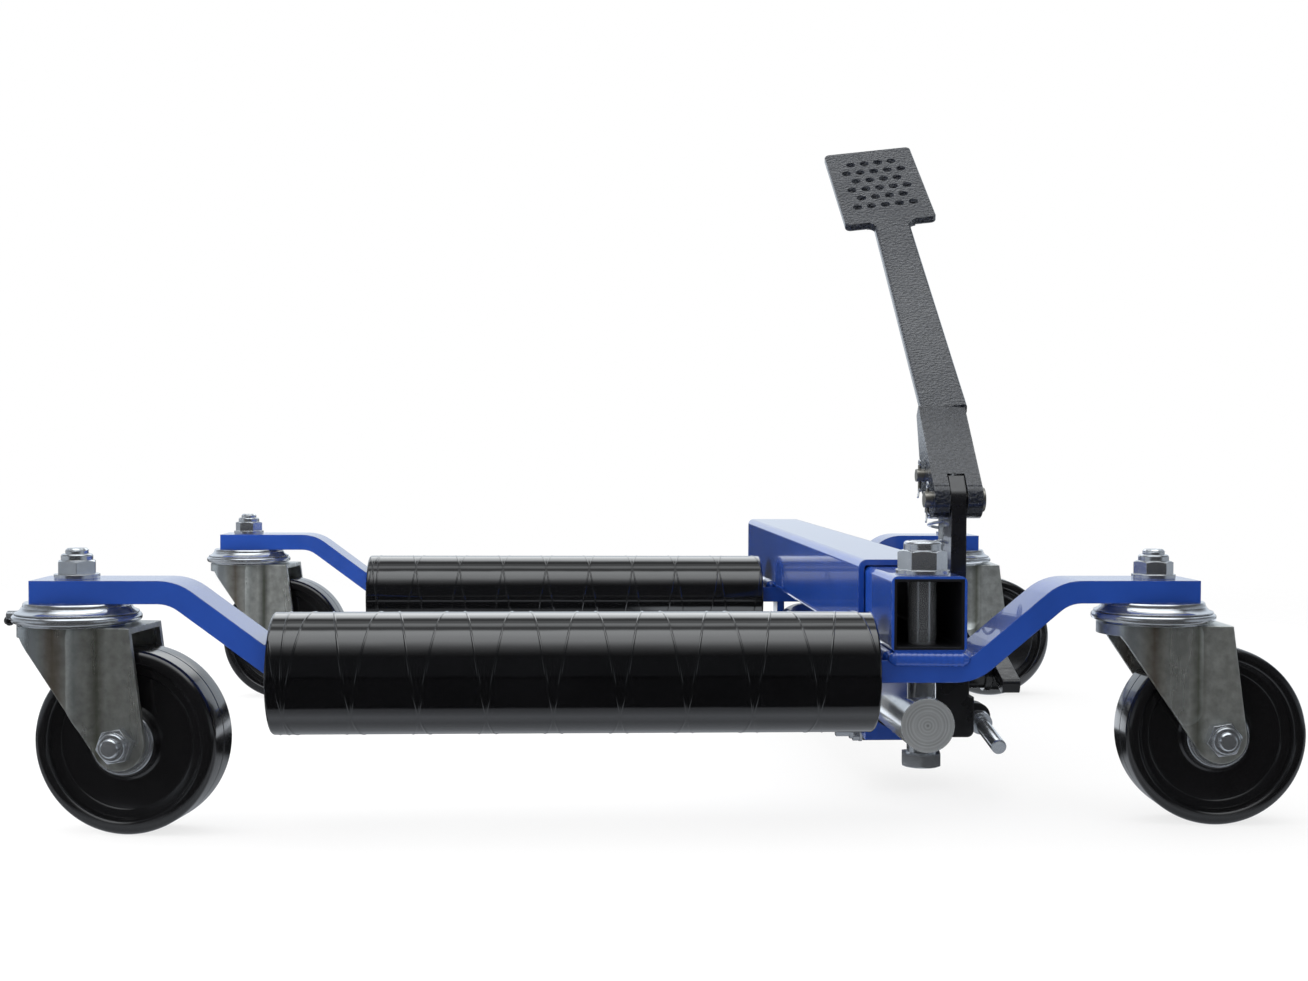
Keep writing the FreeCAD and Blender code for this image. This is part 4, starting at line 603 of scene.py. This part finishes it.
def zinc_plate(name, colour, low, high, metal=0.92):
    """Zinc plate with a faint mottle and tool marks; low and high bound its roughness."""
    plate = Finish(name, metallic=metal)
    tones = plate.blotches(scale=70.0, fleck_scale=900.0)
    edges = plate.edges(reach=0.0006, amount=0.7, scale=420.0)
    base = plate.blend(tones["Cloud"], toned(colour, 0.86), colour)
    plate.feed("Base Color", plate.blend(edges["Mask"], base, BRIGHT_EDGE))
    plate.rough(tones["Fleck"], low, high)
    plate.bump(tones["Fleck"], 0.03, 0.0003, edges["Normal"])
    return plate.material


def fork_plate(name, colour, kingpin):
    """Greenish zinc plate with upright streaks; stained bands run down beside the flute, and a band of painted shade
    runs down the flute between them.
    """
    plate = Finish(name, metallic=0.86)
    tree = plate.tree
    tones = plate.blotches(scale=190.0, fleck_scale=420.0)
    streaks = plate.blotches(scale=80.0, fleck_scale=260.0, vector=plate.mapped(stretch=(1.0, 1.0, 0.16)))
    edges = plate.edges(reach=0.0009, amount=0.8, scale=300.0)
    across = put(tree, "SeparateXYZ", {0: plate.mapped(kingpin)})["X"]
    base = plate.blend(tones["Cloud"], toned(colour, 0.78), toned(colour, 1.16))
    base = plate.blend(spread(tree, across, -0.010, -0.018, 0.0, 0.7), base, FORK_FLANK)
    patchy = spread(tree, streaks["Cloud"], 0.0, 1.0, 0.6, 1.0)
    # The middle band is painted shade down the flute; the other two are stains
    for place, width, share, band_colour in FORK_BANDS:
        away = maths(tree, "ABSOLUTE", maths(tree, "SUBTRACT", across, place))
        band = times(tree, spread(tree, away, 0.0, width, share, 0.0), patchy)
        base = plate.blend(band, base, band_colour)
    base = plate.blend(times(tree, streaks["Fleck"], 0.12), base, FORK_FLECK)
    plate.feed("Base Color", plate.blend(edges["Mask"], base, FORK_EDGE))
    plate.rough(streaks["Cloud"], 0.26, 0.36)
    plate.bump(tones["Fleck"], 0.08, 0.0005, edges["Normal"])
    return plate.material


def turned_steel(name, colour, centre, across, radius):
    """Steel ground bright round its side, with turning marks and a painted shade dot at the centre of its ends;
    across keeps what is square to its axis.
    """
    steel = Finish(name, metallic=0.75)
    tree = steel.tree
    tones = steel.blotches(scale=90.0, fleck_scale=800.0)
    edges = steel.edges(reach=0.0008, amount=0.6, scale=400.0)
    rings = steel.group("Turned rings", vector=steel.mapped(centre, across), rings=560.0)
    end = spread(tree, rings["Distance"], 0.96 * radius, 0.99 * radius, 1.0, 0.0)
    marks = times(tree, end, spread(tree, rings["Height"], 0.35, 0.75, 0.12, 0.60))
    # Painted shade: a dark dot on the axis of each end stands for the shade in the small centre dimple
    centre_shade = spread(tree, rings["Distance"], 0.0004, 0.0009, 0.5, 0.0)
    base = steel.blend(tones["Cloud"], toned(colour, 0.88), colour)
    base = steel.blend(marks, base, toned(colour, 0.45))
    steel.feed("Base Color", steel.blend(centre_shade, base, toned(colour, 0.25)))
    grain = spread(tree, tones["Fleck"], 0.0, 1.0, 0.12, 0.20)
    steel.feed("Roughness", maths(tree, "ADD", grain, times(tree, end, 0.22)))
    steel.bump(rings["Height"], 0.45, 0.0003, edges["Normal"])
    return steel.material


def roller_wrap(name, colour, low, high):
    """Gloss black plastic wrap, faintly rippled along the roller."""
    wrap = Finish(name, coat_weight=1.0, coat_roughness=0.025, coat_ior=CLEAR_IOR)
    tones = wrap.blotches(scale=30.0, fleck_scale=520.0)
    wrap.feed("Base Color", wrap.blend(tones["Cloud"], colour, toned(colour, 1.5)))
    wrap.rough(tones["Fleck"], low, high)
    wrap.bump(wrap.skin(scale=60.0, pits=0.2, stretch=(0.40, 1.0, 1.0)), 0.20, 0.0012)
    return wrap.material


def wheel_plastic(colour):
    """Hard black moulded plastic, polished by the mould, with faintly scuffed edges."""
    plastic = Finish("wheel_black_plastic", coat_weight=0.5, coat_roughness=0.08)
    tones = plastic.blotches(scale=50.0, fleck_scale=600.0)
    edges = plastic.edges(reach=0.0008, amount=0.12, scale=350.0)
    base = plastic.blend(tones["Fleck"], colour, toned(colour, 1.06))
    plastic.feed("Base Color", plastic.blend(edges["Mask"], base, SCUFFED_PLASTIC))
    plastic.rough(tones["Cloud"], 0.14, 0.22)
    plastic.bump(tones["Cloud"], 0.015, 0.0004, edges["Normal"])
    return plastic.material


def plain_plastic(name, colour, low, high):
    """A moulded or machined surface with soft tone and fine flecks."""
    plastic = Finish(name)
    tones = plastic.blotches(scale=80.0, fleck_scale=700.0)
    plastic.feed("Base Color", plastic.blend(tones["Cloud"], toned(colour, 0.8), toned(colour, 1.1)))
    plastic.rough(tones["Fleck"], low, high)
    plastic.bump(tones["Fleck"], 0.08, 0.0004)
    return plastic.material


def dress(material, *nodes):
    """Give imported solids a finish."""
    for name in nodes:
        piece = frame["nodes"][name]
        piece.data.materials.clear()
        piece.data.materials.append(material)


class JACK_OT_finishes(bpy.types.Operator):
    """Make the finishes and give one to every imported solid"""
    bl_idname = "jack.finishes"
    bl_label = "Finishes"

    def execute(self, context):
        colours = context.scene.jack_finishes
        for build in (edge_group, blotch_group, grain_group, ring_group):
            build()
        dress(blue_paint("blue_gloss_paint", colours.blue), "outer_tube", "rear_arm", "ram_bracket", "rear_lugs",
              "front_arm", "packing_plate", "rear_arm_welds", "front_arm_welds")
        low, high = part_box("inner_tube")
        shaded_hollow = (low + high) / 2, (high.x - low.x) / 2 - TUBE_RIM
        dress(blue_paint("sliding_tube_paint", colours.blue, shaded_hollow), "inner_tube")
        dress(black_paint("black_gloss_paint", colours.black, 0.8), "pump_block", "fulcrum_post", "release_valve",
              "cylinder_head", "ram_cylinder", "ram_rear_eye")
        dress(black_paint("paddle_black_paint", colours.black, 0.15), "release_lever")
        dress(lever_skin(colours.lever), "pedal_lever")
        zinc = zinc_plate("bright_zinc_plate", colours.zinc, 0.13, 0.22)
        smooth_zinc = zinc_plate("smooth_zinc_plate", colours.zinc, 0.09, 0.15)
        dress(zinc, "rear_pin", "clamp_studs", "release_spindle", "spring_cap", "return_spring", "rod_nut")
        dress(zinc_plate("barrel_zinc_plate", toned(colours.zinc, 0.5), 0.10, 0.16), "pump_barrel")
        dress(zinc_plate("pin_dull_zinc", DULL_ZINC, 0.30, 0.42), "pivot_pin", "plunger_pin")
        dress(zinc_plate("bolt_zinc_plate", toned(colours.zinc, 0.9), 0.12, 0.18, 0.90), "rod_bolt")
        for names, label, across, share in ((("ram_rod", "piston"), "ram_ground_steel", (1.0, 0.0, 1.0), 1.0),
                                            (("plunger",), "plunger_ground_steel", (1.0, 1.0, 0.0), 0.5)):
            low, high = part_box(names[0])
            steel = toned(colours.steel, share)
            dress(turned_steel(label, steel, (low + high) / 2, across, (high.x - low.x) / 2), *names)
        dress(plain_plastic("gland_bronze", GLAND_BRONZE, 0.25, 0.4), "rod_gland")
        core = plain_plastic("roller_core_steel", CORE_STEEL, 0.4, 0.6)
        nylon = plain_plastic("bush_nylon", BUSH_NYLON, 0.4, 0.55)
        wrap = roller_wrap("roller_black_wrap", colours.roller, 0.06, 0.10)
        roller_wrap("roller_seam_black", colours.roller, 0.10, 0.16)
        wheel = wheel_plastic(colours.wheel)
        for part, finish in (("roller_tube", core), ("roller_bushes", nylon), ("roller_sleeve", wrap),
                             ("kingpin_bolts", zinc), ("kingpin_nuts", zinc), ("caster_races", smooth_zinc)):
            dress(finish, "front_" + part, "rear_" + part)
        for corner in CORNERS:
            kingpin = joints[corner + "_swivel"]["pos_m"]
            # Painted shade and light: the front left fork is darkened and the others lightened, to even out how the
            # lamps fall on them
            lighting_tone = toned(colours.fork, 0.70 if corner == "front_left" else 1.1)
            dress(fork_plate(corner + "_fork_plate", lighting_tone, kingpin), corner + "_fork")
            dress(smooth_zinc, corner + "_swivel_ring")
            dress(zinc, corner + "_axle")
            dress(wheel, corner + "_wheel")
        return {"FINISHED"}


class JACK_OT_roller_seams(bpy.types.Operator):
    """Wind the two crossing seams and an end ring on each roller"""
    bl_idname = "jack.roller_seams"
    bl_label = "Roller seams"

    def execute(self, context):
        sizes = context.scene.jack_rollers
        wrap = bpy.data.materials["roller_seam_black"]
        for end, tops in SEAM_TOPS.items():
            low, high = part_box(end + "_roller_sleeve")
            radius = (high.z - low.z) / 2
            left = Vector((low.x, (low.y + high.y) / 2, (low.z + high.z) / 2))
            length = high.x - low.x - 2 * SEAM_INSET
            root = radius - sizes.height
            crest = radius + sizes.height
            outline = [(root, -sizes.width / 2), (radius, -sizes.width / 2), (crest, -sizes.width * 0.12),
                       (crest, sizes.width * 0.12), (radius, sizes.width / 2), (root, sizes.width / 2)]
            turns = length / sizes.pitch
            for hand, top, side in ((1, tops[0], "right"), (-1, tops[1], "left")):
                start = math.pi - hand * WHOLE_TURN * (top - SEAM_INSET) / sizes.pitch
                seam = helix(outline, hand * turns, length, 64, start)
                turn_to(seam, left + Vector((SEAM_INSET, 0, 0)), (1, 0, 0))
                settle(seam, f"{end}_roller_seam_{side}", wrap)
                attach(seam, end + "_roller")
            ring = lathe(outline + outline[:1], 96)
            turn_to(ring, left + Vector((sizes.end_ring, 0, 0)), (1, 0, 0))
            settle(ring, f"{end}_roller_end_ring", wrap)
            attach(ring, end + "_roller")
        return {"FINISHED"}


class JACK_OT_wheels(bpy.types.Operator):
    """Turn the four caster wheels with their lips, steps, parting lines and hub covers"""
    bl_idname = "jack.wheels"
    bl_label = "Caster wheels"

    def execute(self, context):
        sizes = context.scene.jack_wheels
        plastic = bpy.data.materials["wheel_black_plastic"]
        hub_face = HUB_HALF - COVER_THICKNESS
        side = [
            (WHEEL_BORE, hub_face), (0.0170, hub_face), (0.0180, HUB_HALF - 0.0016), (0.0192, 0.0122),
            (0.0206, 0.0112), (sizes.step - 0.0008, 0.0108), (sizes.step, 0.0116), (sizes.step + 0.0006, 0.0118),
            (sizes.lip - 0.0022, 0.0122), (sizes.lip - 0.0006, 0.0150), (sizes.lip, 0.0156),
            (sizes.lip + 0.0006, 0.0160),
        ]
        for step in range(SHOULDER_STEPS + 1):
            angle = math.pi / 2 * step / SHOULDER_STEPS
            side.append((WHEEL_RADIUS - SHOULDER + SHOULDER * math.sin(angle),
                         WHEEL_HALF - SHOULDER + SHOULDER * math.cos(angle)))
        side += [(WHEEL_RADIUS, 0.0005), (WHEEL_RADIUS - sizes.parting, 0.0)]
        outline = side + [(r, -w) for r, w in side[-2::-1]] + side[:1]
        model = lathe(outline, 128)
        rims = []
        for hand in (1, -1):
            near, far = hand * hub_face, hand * HUB_HALF
            rims.append(lathe([(WHEEL_BORE, near), (COVER_RADIUS, near), (COVER_RADIUS, far - hand * COVER_CHAMFER),
                               (COVER_RADIUS - COVER_CHAMFER, far), (WHEEL_BORE, far), (WHEEL_BORE, near)], 64))
        for corner, (wheel, covers) in zip(CORNERS, copies(model, joined(rims))):
            joint = joints[corner + "_wheel_spin"]
            turn_to(wheel, joint["pos_m"], joint["axis"])
            settle(wheel, corner + "_moulded_wheel", plastic, 32.0)
            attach(wheel, corner + "_rolling_wheel")
            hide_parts(corner + "_wheel")
            turn_to(covers, joint["pos_m"], joint["axis"])
            settle(covers, corner + "_hub_covers", bpy.data.materials["bright_zinc_plate"])
            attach(covers, corner + "_rolling_wheel")
        return {"FINISHED"}


class JACK_OT_return_spring(bpy.types.Operator):
    """Wind the pedal's return spring, with one close turn at each end"""
    bl_idname = "jack.return_spring"
    bl_label = "Return spring"

    def execute(self, context):
        sizes = context.scene.jack_spring
        low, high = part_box("return_spring")
        centre = (low + high) / 2
        radius = (high.x - low.x) / 2 - sizes.wire / 2
        rise = high.z - low.z - sizes.wire
        pitch = rise / sizes.turns
        angles = [WHOLE_TURN * index / SPRING_SIDES for index in range(SPRING_SIDES)]
        section = [(radius + sizes.wire / 2 * math.cos(angle), sizes.wire / 2 * math.sin(angle)) for angle in angles]
        spring = helix(section, sizes.turns, rise, 48)
        open_pitch = (rise - 2 * sizes.end_pitch) / (sizes.turns - 2)
        for vertex in spring.data.vertices:
            share = (math.atan2(vertex.co.y, vertex.co.x) / WHOLE_TURN) % 1.0
            turn = min(max(share + round(vertex.co.z / pitch - share), 0.0), sizes.turns)
            height = sizes.end_pitch * min(turn, 1.0) + open_pitch * min(max(turn - 1.0, 0.0), sizes.turns - 2)
            height += sizes.end_pitch * max(turn - sizes.turns + 1.0, 0.0)
            vertex.co.z += height - pitch * turn
        spring.location = (centre.x, centre.y, low.z + sizes.wire / 2)
        settle(spring, "return_spring_wire", bpy.data.materials["bright_zinc_plate"])
        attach(spring, "frame")
        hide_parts("return_spring")
        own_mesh(spring)
        return {"FINISHED"}


class JACK_OT_welds(bpy.types.Operator):
    """Lay rippled weld beads where the two tubes stand on their arms"""
    bl_idname = "jack.welds"
    bl_label = "Weld beads"

    def execute(self, context):
        sizes = context.scene.jack_small_parts
        paint = bpy.data.materials["blue_gloss_paint"]
        for end, tube, seat, body in (("front", "inner_tube", "packing_plate", "sliding_arm"),
                                      ("rear", "outer_tube", "outer_tube", "frame")):
            low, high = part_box(tube)
            arm_low, arm_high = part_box(end + "_roller_sleeve")
            across = (arm_low.y + arm_high.y) / 2
            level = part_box(seat)[0].z + WELD_LIFT
            near, far = across - WELD_HALF, across + WELD_HALF
            runs = [((x, near, level), (x, far, level)) for x in (low.x, high.x)]
            if end == "front":
                runs.append(((low.x - WELD_OVERRUN, near, level), (high.x + WELD_OVERRUN, near, level - WELD_SAG)))
            beads = joined([weld_bead(start, stop, sizes.bead, sizes.ripple) for start, stop in runs])
            settle(beads, end + "_weld_beads", paint, 60.0)
            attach(beads, body)
            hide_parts(end + "_arm_welds")
        return {"FINISHED"}


class JACK_OT_races(bpy.types.Operator):
    """Turn the domed ball races between the arms and the casters"""
    bl_idname = "jack.races"
    bl_label = "Caster races"

    def execute(self, context):
        zinc = bpy.data.materials["smooth_zinc_plate"]
        for end, body in (("front", "sliding_arm"), ("rear", "frame")):
            low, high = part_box(end + "_caster_races")
            tall = high.z - low.z
            outline = [(RACE_BORE, 0.0), (0.0325, 0.0), (0.0325, 0.0006), (0.0308, 0.0012), (0.0294, 0.0022),
                       (0.0286, 0.0036), (0.0282, 0.6 * tall), (0.0280, tall - 0.0008), (0.0272, tall),
                       (RACE_BORE, tall), (RACE_BORE, 0.0)]
            domes = [dome for dome, in copies(lathe(outline, 96), count=2)]
            for side, dome in zip(("left", "right"), domes):
                place = joints[f"{end}_{side}_swivel"]["pos_m"]
                dome.location = (place[0], place[1], low.z)
            races = settle(joined(domes), end + "_domed_races", zinc)
            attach(races, body)
            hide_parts(end + "_caster_races")
        return {"FINISHED"}


class JACK_OT_threads(bpy.types.Operator):
    """Cut threads on the tips of the kingpin bolts"""
    bl_idname = "jack.threads"
    bl_label = "Bolt threads"

    def execute(self, context):
        pitch = context.scene.jack_small_parts.thread_pitch
        zinc = bpy.data.materials["bright_zinc_plate"]
        outline = [(THREAD_ROOT, -pitch * 0.42), (THREAD_CREST, -pitch * 0.08), (THREAD_CREST, pitch * 0.08),
                   (THREAD_ROOT, pitch * 0.42)]
        for corner, (thread,) in zip(CORNERS, copies(helix(outline, THREAD_TURNS, THREAD_TURNS * pitch, 40))):
            end = corner.split("_")[0]
            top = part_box(end + "_kingpin_bolts")[1].z
            place = joints[corner + "_swivel"]["pos_m"]
            thread.location = (place[0], place[1], top - THREAD_BELOW_TIP)
            settle(thread, corner + "_kingpin_thread", zinc)
            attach(thread, "sliding_arm" if end == "front" else "frame")
        return {"FINISHED"}


class JACK_OT_split_pins(bpy.types.Operator):
    """Bend the eyes and splayed legs of the split pins in the pedal's two pins"""
    bl_idname = "jack.split_pins"
    bl_label = "Split pins"

    def execute(self, context):
        thickness = context.scene.jack_small_parts.split_wire
        zinc = bpy.data.materials["bright_zinc_plate"]
        angles = [WHOLE_TURN * index / EYE_STEPS for index in range(EYE_STEPS + 1)]
        for name, splay in SPLAYS.items():
            low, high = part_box(name)
            x, y = low.x + SPLIT_PIN_INSET, (low.y + high.y) / 2
            eye = [(x, y + EYE_RADIUS * math.sin(angle), high.z + EYE_LIFT - EYE_RADIUS * math.cos(angle))
                   for angle in angles]
            long_leg = [(x - 0.0002, y, low.z + 0.0030), (x - 0.0005, y - 0.0007, low.z + 0.0006),
                        (x - 0.0011, y - 0.0020, low.z - 0.0018), (x - 0.0016, y - 0.0032, low.z - 0.0034)]
            short_leg = [(x + 0.0002, y, low.z + 0.0034), (x + 0.0003, y - splay * 0.5, low.z + 0.0016),
                         (x + 0.0004, y - splay * 1.2, low.z + 0.0010)]
            pin = joined([wire(points, thickness) for points in (eye, long_leg, short_leg)])
            settle(pin, name.replace("_pin", "_split_pin"), zinc)
            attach(pin, "pedal")
        return {"FINISHED"}


class JACK_OT_grease_caps(bpy.types.Operator):
    """Press a black cap on each caster's grease nipple"""
    bl_idname = "jack.grease_caps"
    bl_label = "Grease caps"

    def execute(self, context):
        radius = context.scene.jack_small_parts.grease_cap
        rubber = bpy.data.materials["wheel_black_plastic"]
        outline = [(0.0, -radius)]
        for index in range(1, CAP_STEPS):
            angle = math.pi * index / CAP_STEPS - math.pi / 2
            share = 0.88 if index == CAP_WAIST else 1.0
            outline.append((radius * math.cos(angle) * share, radius * math.sin(angle)))
        for corner, (cap,) in zip(CORNERS, copies(lathe(outline + [(0.0, radius)], 24))):
            pin = Vector(joints[corner + "_swivel"]["pos_m"])
            trail = Vector(joints[corner + "_wheel_spin"]["pos_m"]) - pin
            trail = Vector((trail.x, trail.y, 0.0)).normalized()
            way = -trail if corner == "front_left" else Vector((-trail.y, trail.x, 0.0))
            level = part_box(corner + "_swivel_ring")[0].z + CAP_LIFT
            turn_to(cap, Vector((pin.x, pin.y, level)) + way * CAP_REACH, way)
            settle(cap, corner + "_grease_cap", rubber)
            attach(cap, corner + "_caster")
        return {"FINISHED"}


def floor_finish(colour):
    """A pale floor that fades into the background; gloss sees bands of light that lie across it."""
    material, tree, out = bare_material("pale_floor")
    coords = put(tree, "TexCoord")["Object"]
    grain = noise(tree, coords, 6.0, 3.0)
    base = blend_colour(tree, grain, toned(colour, 0.985), toned(colour, 1.015))
    paper = put(tree, "BsdfDiffuse", {"Color": base})[0]
    place = put(tree, "SeparateXYZ", {0: coords})
    # What gloss mirrors: dark ahead of the front roller, a bright strip under it, dark between the rollers and behind
    near = spread(tree, place["Y"], -0.373, -0.365, 0.02, 0.36)
    strip = spread(tree, maths(tree, "ABSOLUTE", maths(tree, "ADD", place["Y"], 0.339)), 0.0, 0.022, 0.28, 0.0)
    gap = spread(tree, maths(tree, "ABSOLUTE", maths(tree, "ADD", place["Y"], 0.07)), 0.10, 0.13, 0.05, 1.0)
    behind = spread(tree, place["Y"], 0.30, 0.50, 1.0, 0.1)
    level = times(tree, maths(tree, "ADD", near, strip), times(tree, gap, behind))
    under_rod = times(tree, spread(tree, place["X"], 0.0, 0.03), spread(tree, place["Y"], 0.0, 0.03, 0.0, 1.3))
    level = maths(tree, "MAXIMUM", level, under_rod)
    mirrored = put(tree, "Emission", {"Color": MIRROR_TINT, "Strength": level})[0]
    ray = put(tree, "LightPath")
    white = put(tree, "Emission", {"Color": WHITE, "Strength": 1.0})[0]
    pale = put(tree, "MixShader", {0: times(tree, ray["Is Camera Ray"], 0.78), 1: paper, 2: white})[0]
    seen = put(tree, "MixShader", {0: ray["Is Glossy Ray"], 1: pale, 2: mirrored})[0]
    away = put(tree, "VectorMath", {0: coords}, operation="LENGTH")["Value"]
    gone = spread(tree, away, 0.75, 1.7, kind="SMOOTHSTEP")
    clear = put(tree, "BsdfTransparent")[0]
    tree.links.new(put(tree, "MixShader", {0: gone, 1: seen, 2: clear})[0], out.inputs[0])
    return material


def panel_finish(front):
    """Light of the overhead panel: bands of bright and dark that lie across the jack behind and ahead of a place."""
    material, tree, out = bare_material("panel_light")
    place = put(tree, "SeparateXYZ", {0: put(tree, "TexCoord")["Object"]})
    ramp = tree.nodes.new("ShaderNodeValToRGB")
    tree.links.new(spread(tree, place["Y"], front + PANEL_START, front + PANEL_END), ramp.inputs[0])
    stops = ramp.color_ramp.elements
    for index, (distance, level) in enumerate(PANEL_LEVELS):
        spot = (distance - PANEL_START) / PANEL_LENGTH
        stop = stops[index] if index < 2 else stops.new(spot)
        stop.position = spot
        share = level / PANEL_BRIGHTEST
        stop.color = (0.95 * share, 0.98 * share, share, 1.0)
    sideways = maths(tree, "ABSOLUTE", place["X"])
    strength = spread(tree, sideways, 0.9, 1.6, PANEL_BRIGHTEST, PANEL_SIDES)
    tree.links.new(put(tree, "Emission", {"Color": ramp.outputs[0], "Strength": strength})[0], out.inputs[0])
    return material


def overhead_panel(front):
    """A wide panel of light that only gloss sees."""
    deselect()
    middle = front + (PANEL_START + PANEL_END) / 2
    bpy.ops.mesh.primitive_plane_add(size=1.0, location=(0.0, middle, PANEL_HEIGHT))
    bpy.context.object.scale = (PANEL_WIDTH, PANEL_LENGTH, 1.0)
    panel = settle(bpy.context.object, "overhead_panel", panel_finish(front))
    for ray in ("camera", "diffuse", "shadow", "transmission"):
        setattr(panel, "visible_" + ray, False)


def studio_world():
    """A white background; gloss sees white behind, grey beside and dark ahead and below."""
    world = bpy.data.worlds.new("studio")
    bpy.context.scene.world = world
    world.use_nodes = True
    tree = world.node_tree
    tree.nodes.clear()
    out = tree.nodes.new("ShaderNodeOutputWorld")
    way = put(tree, "SeparateXYZ", {0: put(tree, "TexCoord")["Generated"]})
    ahead = spread(tree, way["Y"], -0.1, 0.1, 0.04, 0.85)
    behind = times(tree, ahead, spread(tree, way["Z"], -0.01, 0.01, 0.05, 1.0))
    aside = spread(tree, way["Z"], 0.1, 0.4, 0.40, 0.06)
    beside = spread(tree, maths(tree, "ABSOLUTE", way["X"]), 0.55, 0.85, kind="SMOOTHSTEP")
    ray = put(tree, "LightPath")
    lit = blend_value(tree, ray["Is Glossy Ray"], 0.50, blend_value(tree, beside, behind, aside))
    strength = blend_value(tree, ray["Is Camera Ray"], lit, 1.0)
    cool = blend_colour(tree, ray["Is Glossy Ray"], WHITE, SKY_TINT)
    tree.links.new(put(tree, "Background", {"Color": cool, "Strength": strength})[0], out.inputs[0])


def soft_lamp(name, place, target, width, depth, power):
    """A flat soft box that looks at a point and isn't mirrored."""
    bpy.ops.object.light_add(type="AREA", location=place)
    lamp = bpy.context.object
    lamp.name = name
    lamp.rotation_mode = "QUATERNION"
    lamp.rotation_quaternion = (Vector(target) - Vector(place)).to_track_quat("-Z", "Y")
    lamp.data.shape = "RECTANGLE"
    lamp.data.size = width
    lamp.data.size_y = depth
    lamp.data.energy = power
    lamp.visible_glossy = False
    lamp.visible_camera = False


class JACK_OT_stage(bpy.types.Operator):
    """Set up the floor, the lamps, the background and the camera"""
    bl_idname = "jack.stage"
    bl_label = "Stage"

    def execute(self, context):
        sizes = context.scene.jack_stage
        context.scene.view_settings.view_transform = "Standard"
        studio_world()
        deselect()
        bpy.ops.mesh.primitive_circle_add(vertices=96, radius=1.8, fill_type="NGON")
        floor = settle(context.object, "floor", floor_finish(sizes.floor))
        deselect()
        soft_lamp("overhead_box", (0.0, 0.05, 1.35), (0.0, 0.05, 0.0), 2.4, 2.3, sizes.overhead)
        soft_lamp("front_fill", (-1.3, -1.7, 0.8), (0.0, 0.0, 0.1), 2.4, 1.4, sizes.front)
        soft_lamp("left_fill", (-1.6, 0.0, 0.45), (0.1, 0.0, 0.1), 1.6, 0.8, sizes.left)
        overhead_panel(joints["front_roller_spin"]["pos_m"][1])
        level_run = math.cos(CAMERA_PITCH)
        ahead = Vector((math.sin(CAMERA_YAW) * level_run, math.cos(CAMERA_YAW) * level_run, -math.sin(CAMERA_PITCH)))
        level = ahead.cross(Vector((0, 0, 1))).normalized()
        right = math.cos(CAMERA_ROLL) * level + math.sin(CAMERA_ROLL) * level.cross(ahead)
        up = right.cross(ahead)
        bpy.ops.object.camera_add(location=CAMERA_PLACE)
        camera = context.object
        camera.name = "camera"
        camera.rotation_mode = "QUATERNION"
        camera.rotation_quaternion = Matrix((right, up, -ahead)).transposed().to_quaternion()
        camera.data.sensor_width = SENSOR_WIDTH
        camera.data.lens = SENSOR_WIDTH * FOCAL_PIXELS / PICTURE_PIXELS
        context.scene.camera = camera
        return {"FINISHED"}


STEPS = (JACK_OT_finishes, JACK_OT_roller_seams, JACK_OT_wheels, JACK_OT_return_spring, JACK_OT_welds,
         JACK_OT_races, JACK_OT_threads, JACK_OT_split_pins, JACK_OT_grease_caps, JACK_OT_stage)
GROUPS = {
    "jack_finishes": JackFinishes,
    "jack_rollers": JackRollers,
    "jack_wheels": JackWheels,
    "jack_spring": JackSpring,
    "jack_small_parts": JackSmallParts,
    "jack_stage": JackStage,
}


class JACK_PT_panel(bpy.types.Panel):
    """The jack's steps and sizes in the sidebar"""
    bl_idname = "JACK_PT_panel"
    bl_label = "Positioning jack"
    bl_space_type = "VIEW_3D"
    bl_region_type = "UI"
    bl_category = "Jack"

    def draw(self, context):
        for step in STEPS:
            self.layout.operator(step.bl_idname)
        for name, kind in GROUPS.items():
            box = self.layout.box()
            for label in kind.__annotations__:
                box.prop(getattr(context.scene, name), label)


def register():
    for kind in (*GROUPS.values(), *STEPS, JACK_PT_panel):
        bpy.utils.register_class(kind)
    for name, kind in GROUPS.items():
        setattr(bpy.types.Scene, name, bpy.props.PointerProperty(type=kind))


def unregister():
    for name in GROUPS:
        delattr(bpy.types.Scene, name)
    for kind in (JACK_PT_panel, *STEPS, *GROUPS.values()):
        bpy.utils.unregister_class(kind)


def main():
    """Register the add-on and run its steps."""
    register()
    bpy.ops.jack.finishes()
    bpy.ops.jack.roller_seams()
    bpy.ops.jack.wheels()
    bpy.ops.jack.return_spring()
    bpy.ops.jack.welds()
    bpy.ops.jack.races()
    bpy.ops.jack.threads()
    bpy.ops.jack.split_pins()
    bpy.ops.jack.grease_caps()
    bpy.ops.jack.stage()


if __name__ == "__main__":
    main()
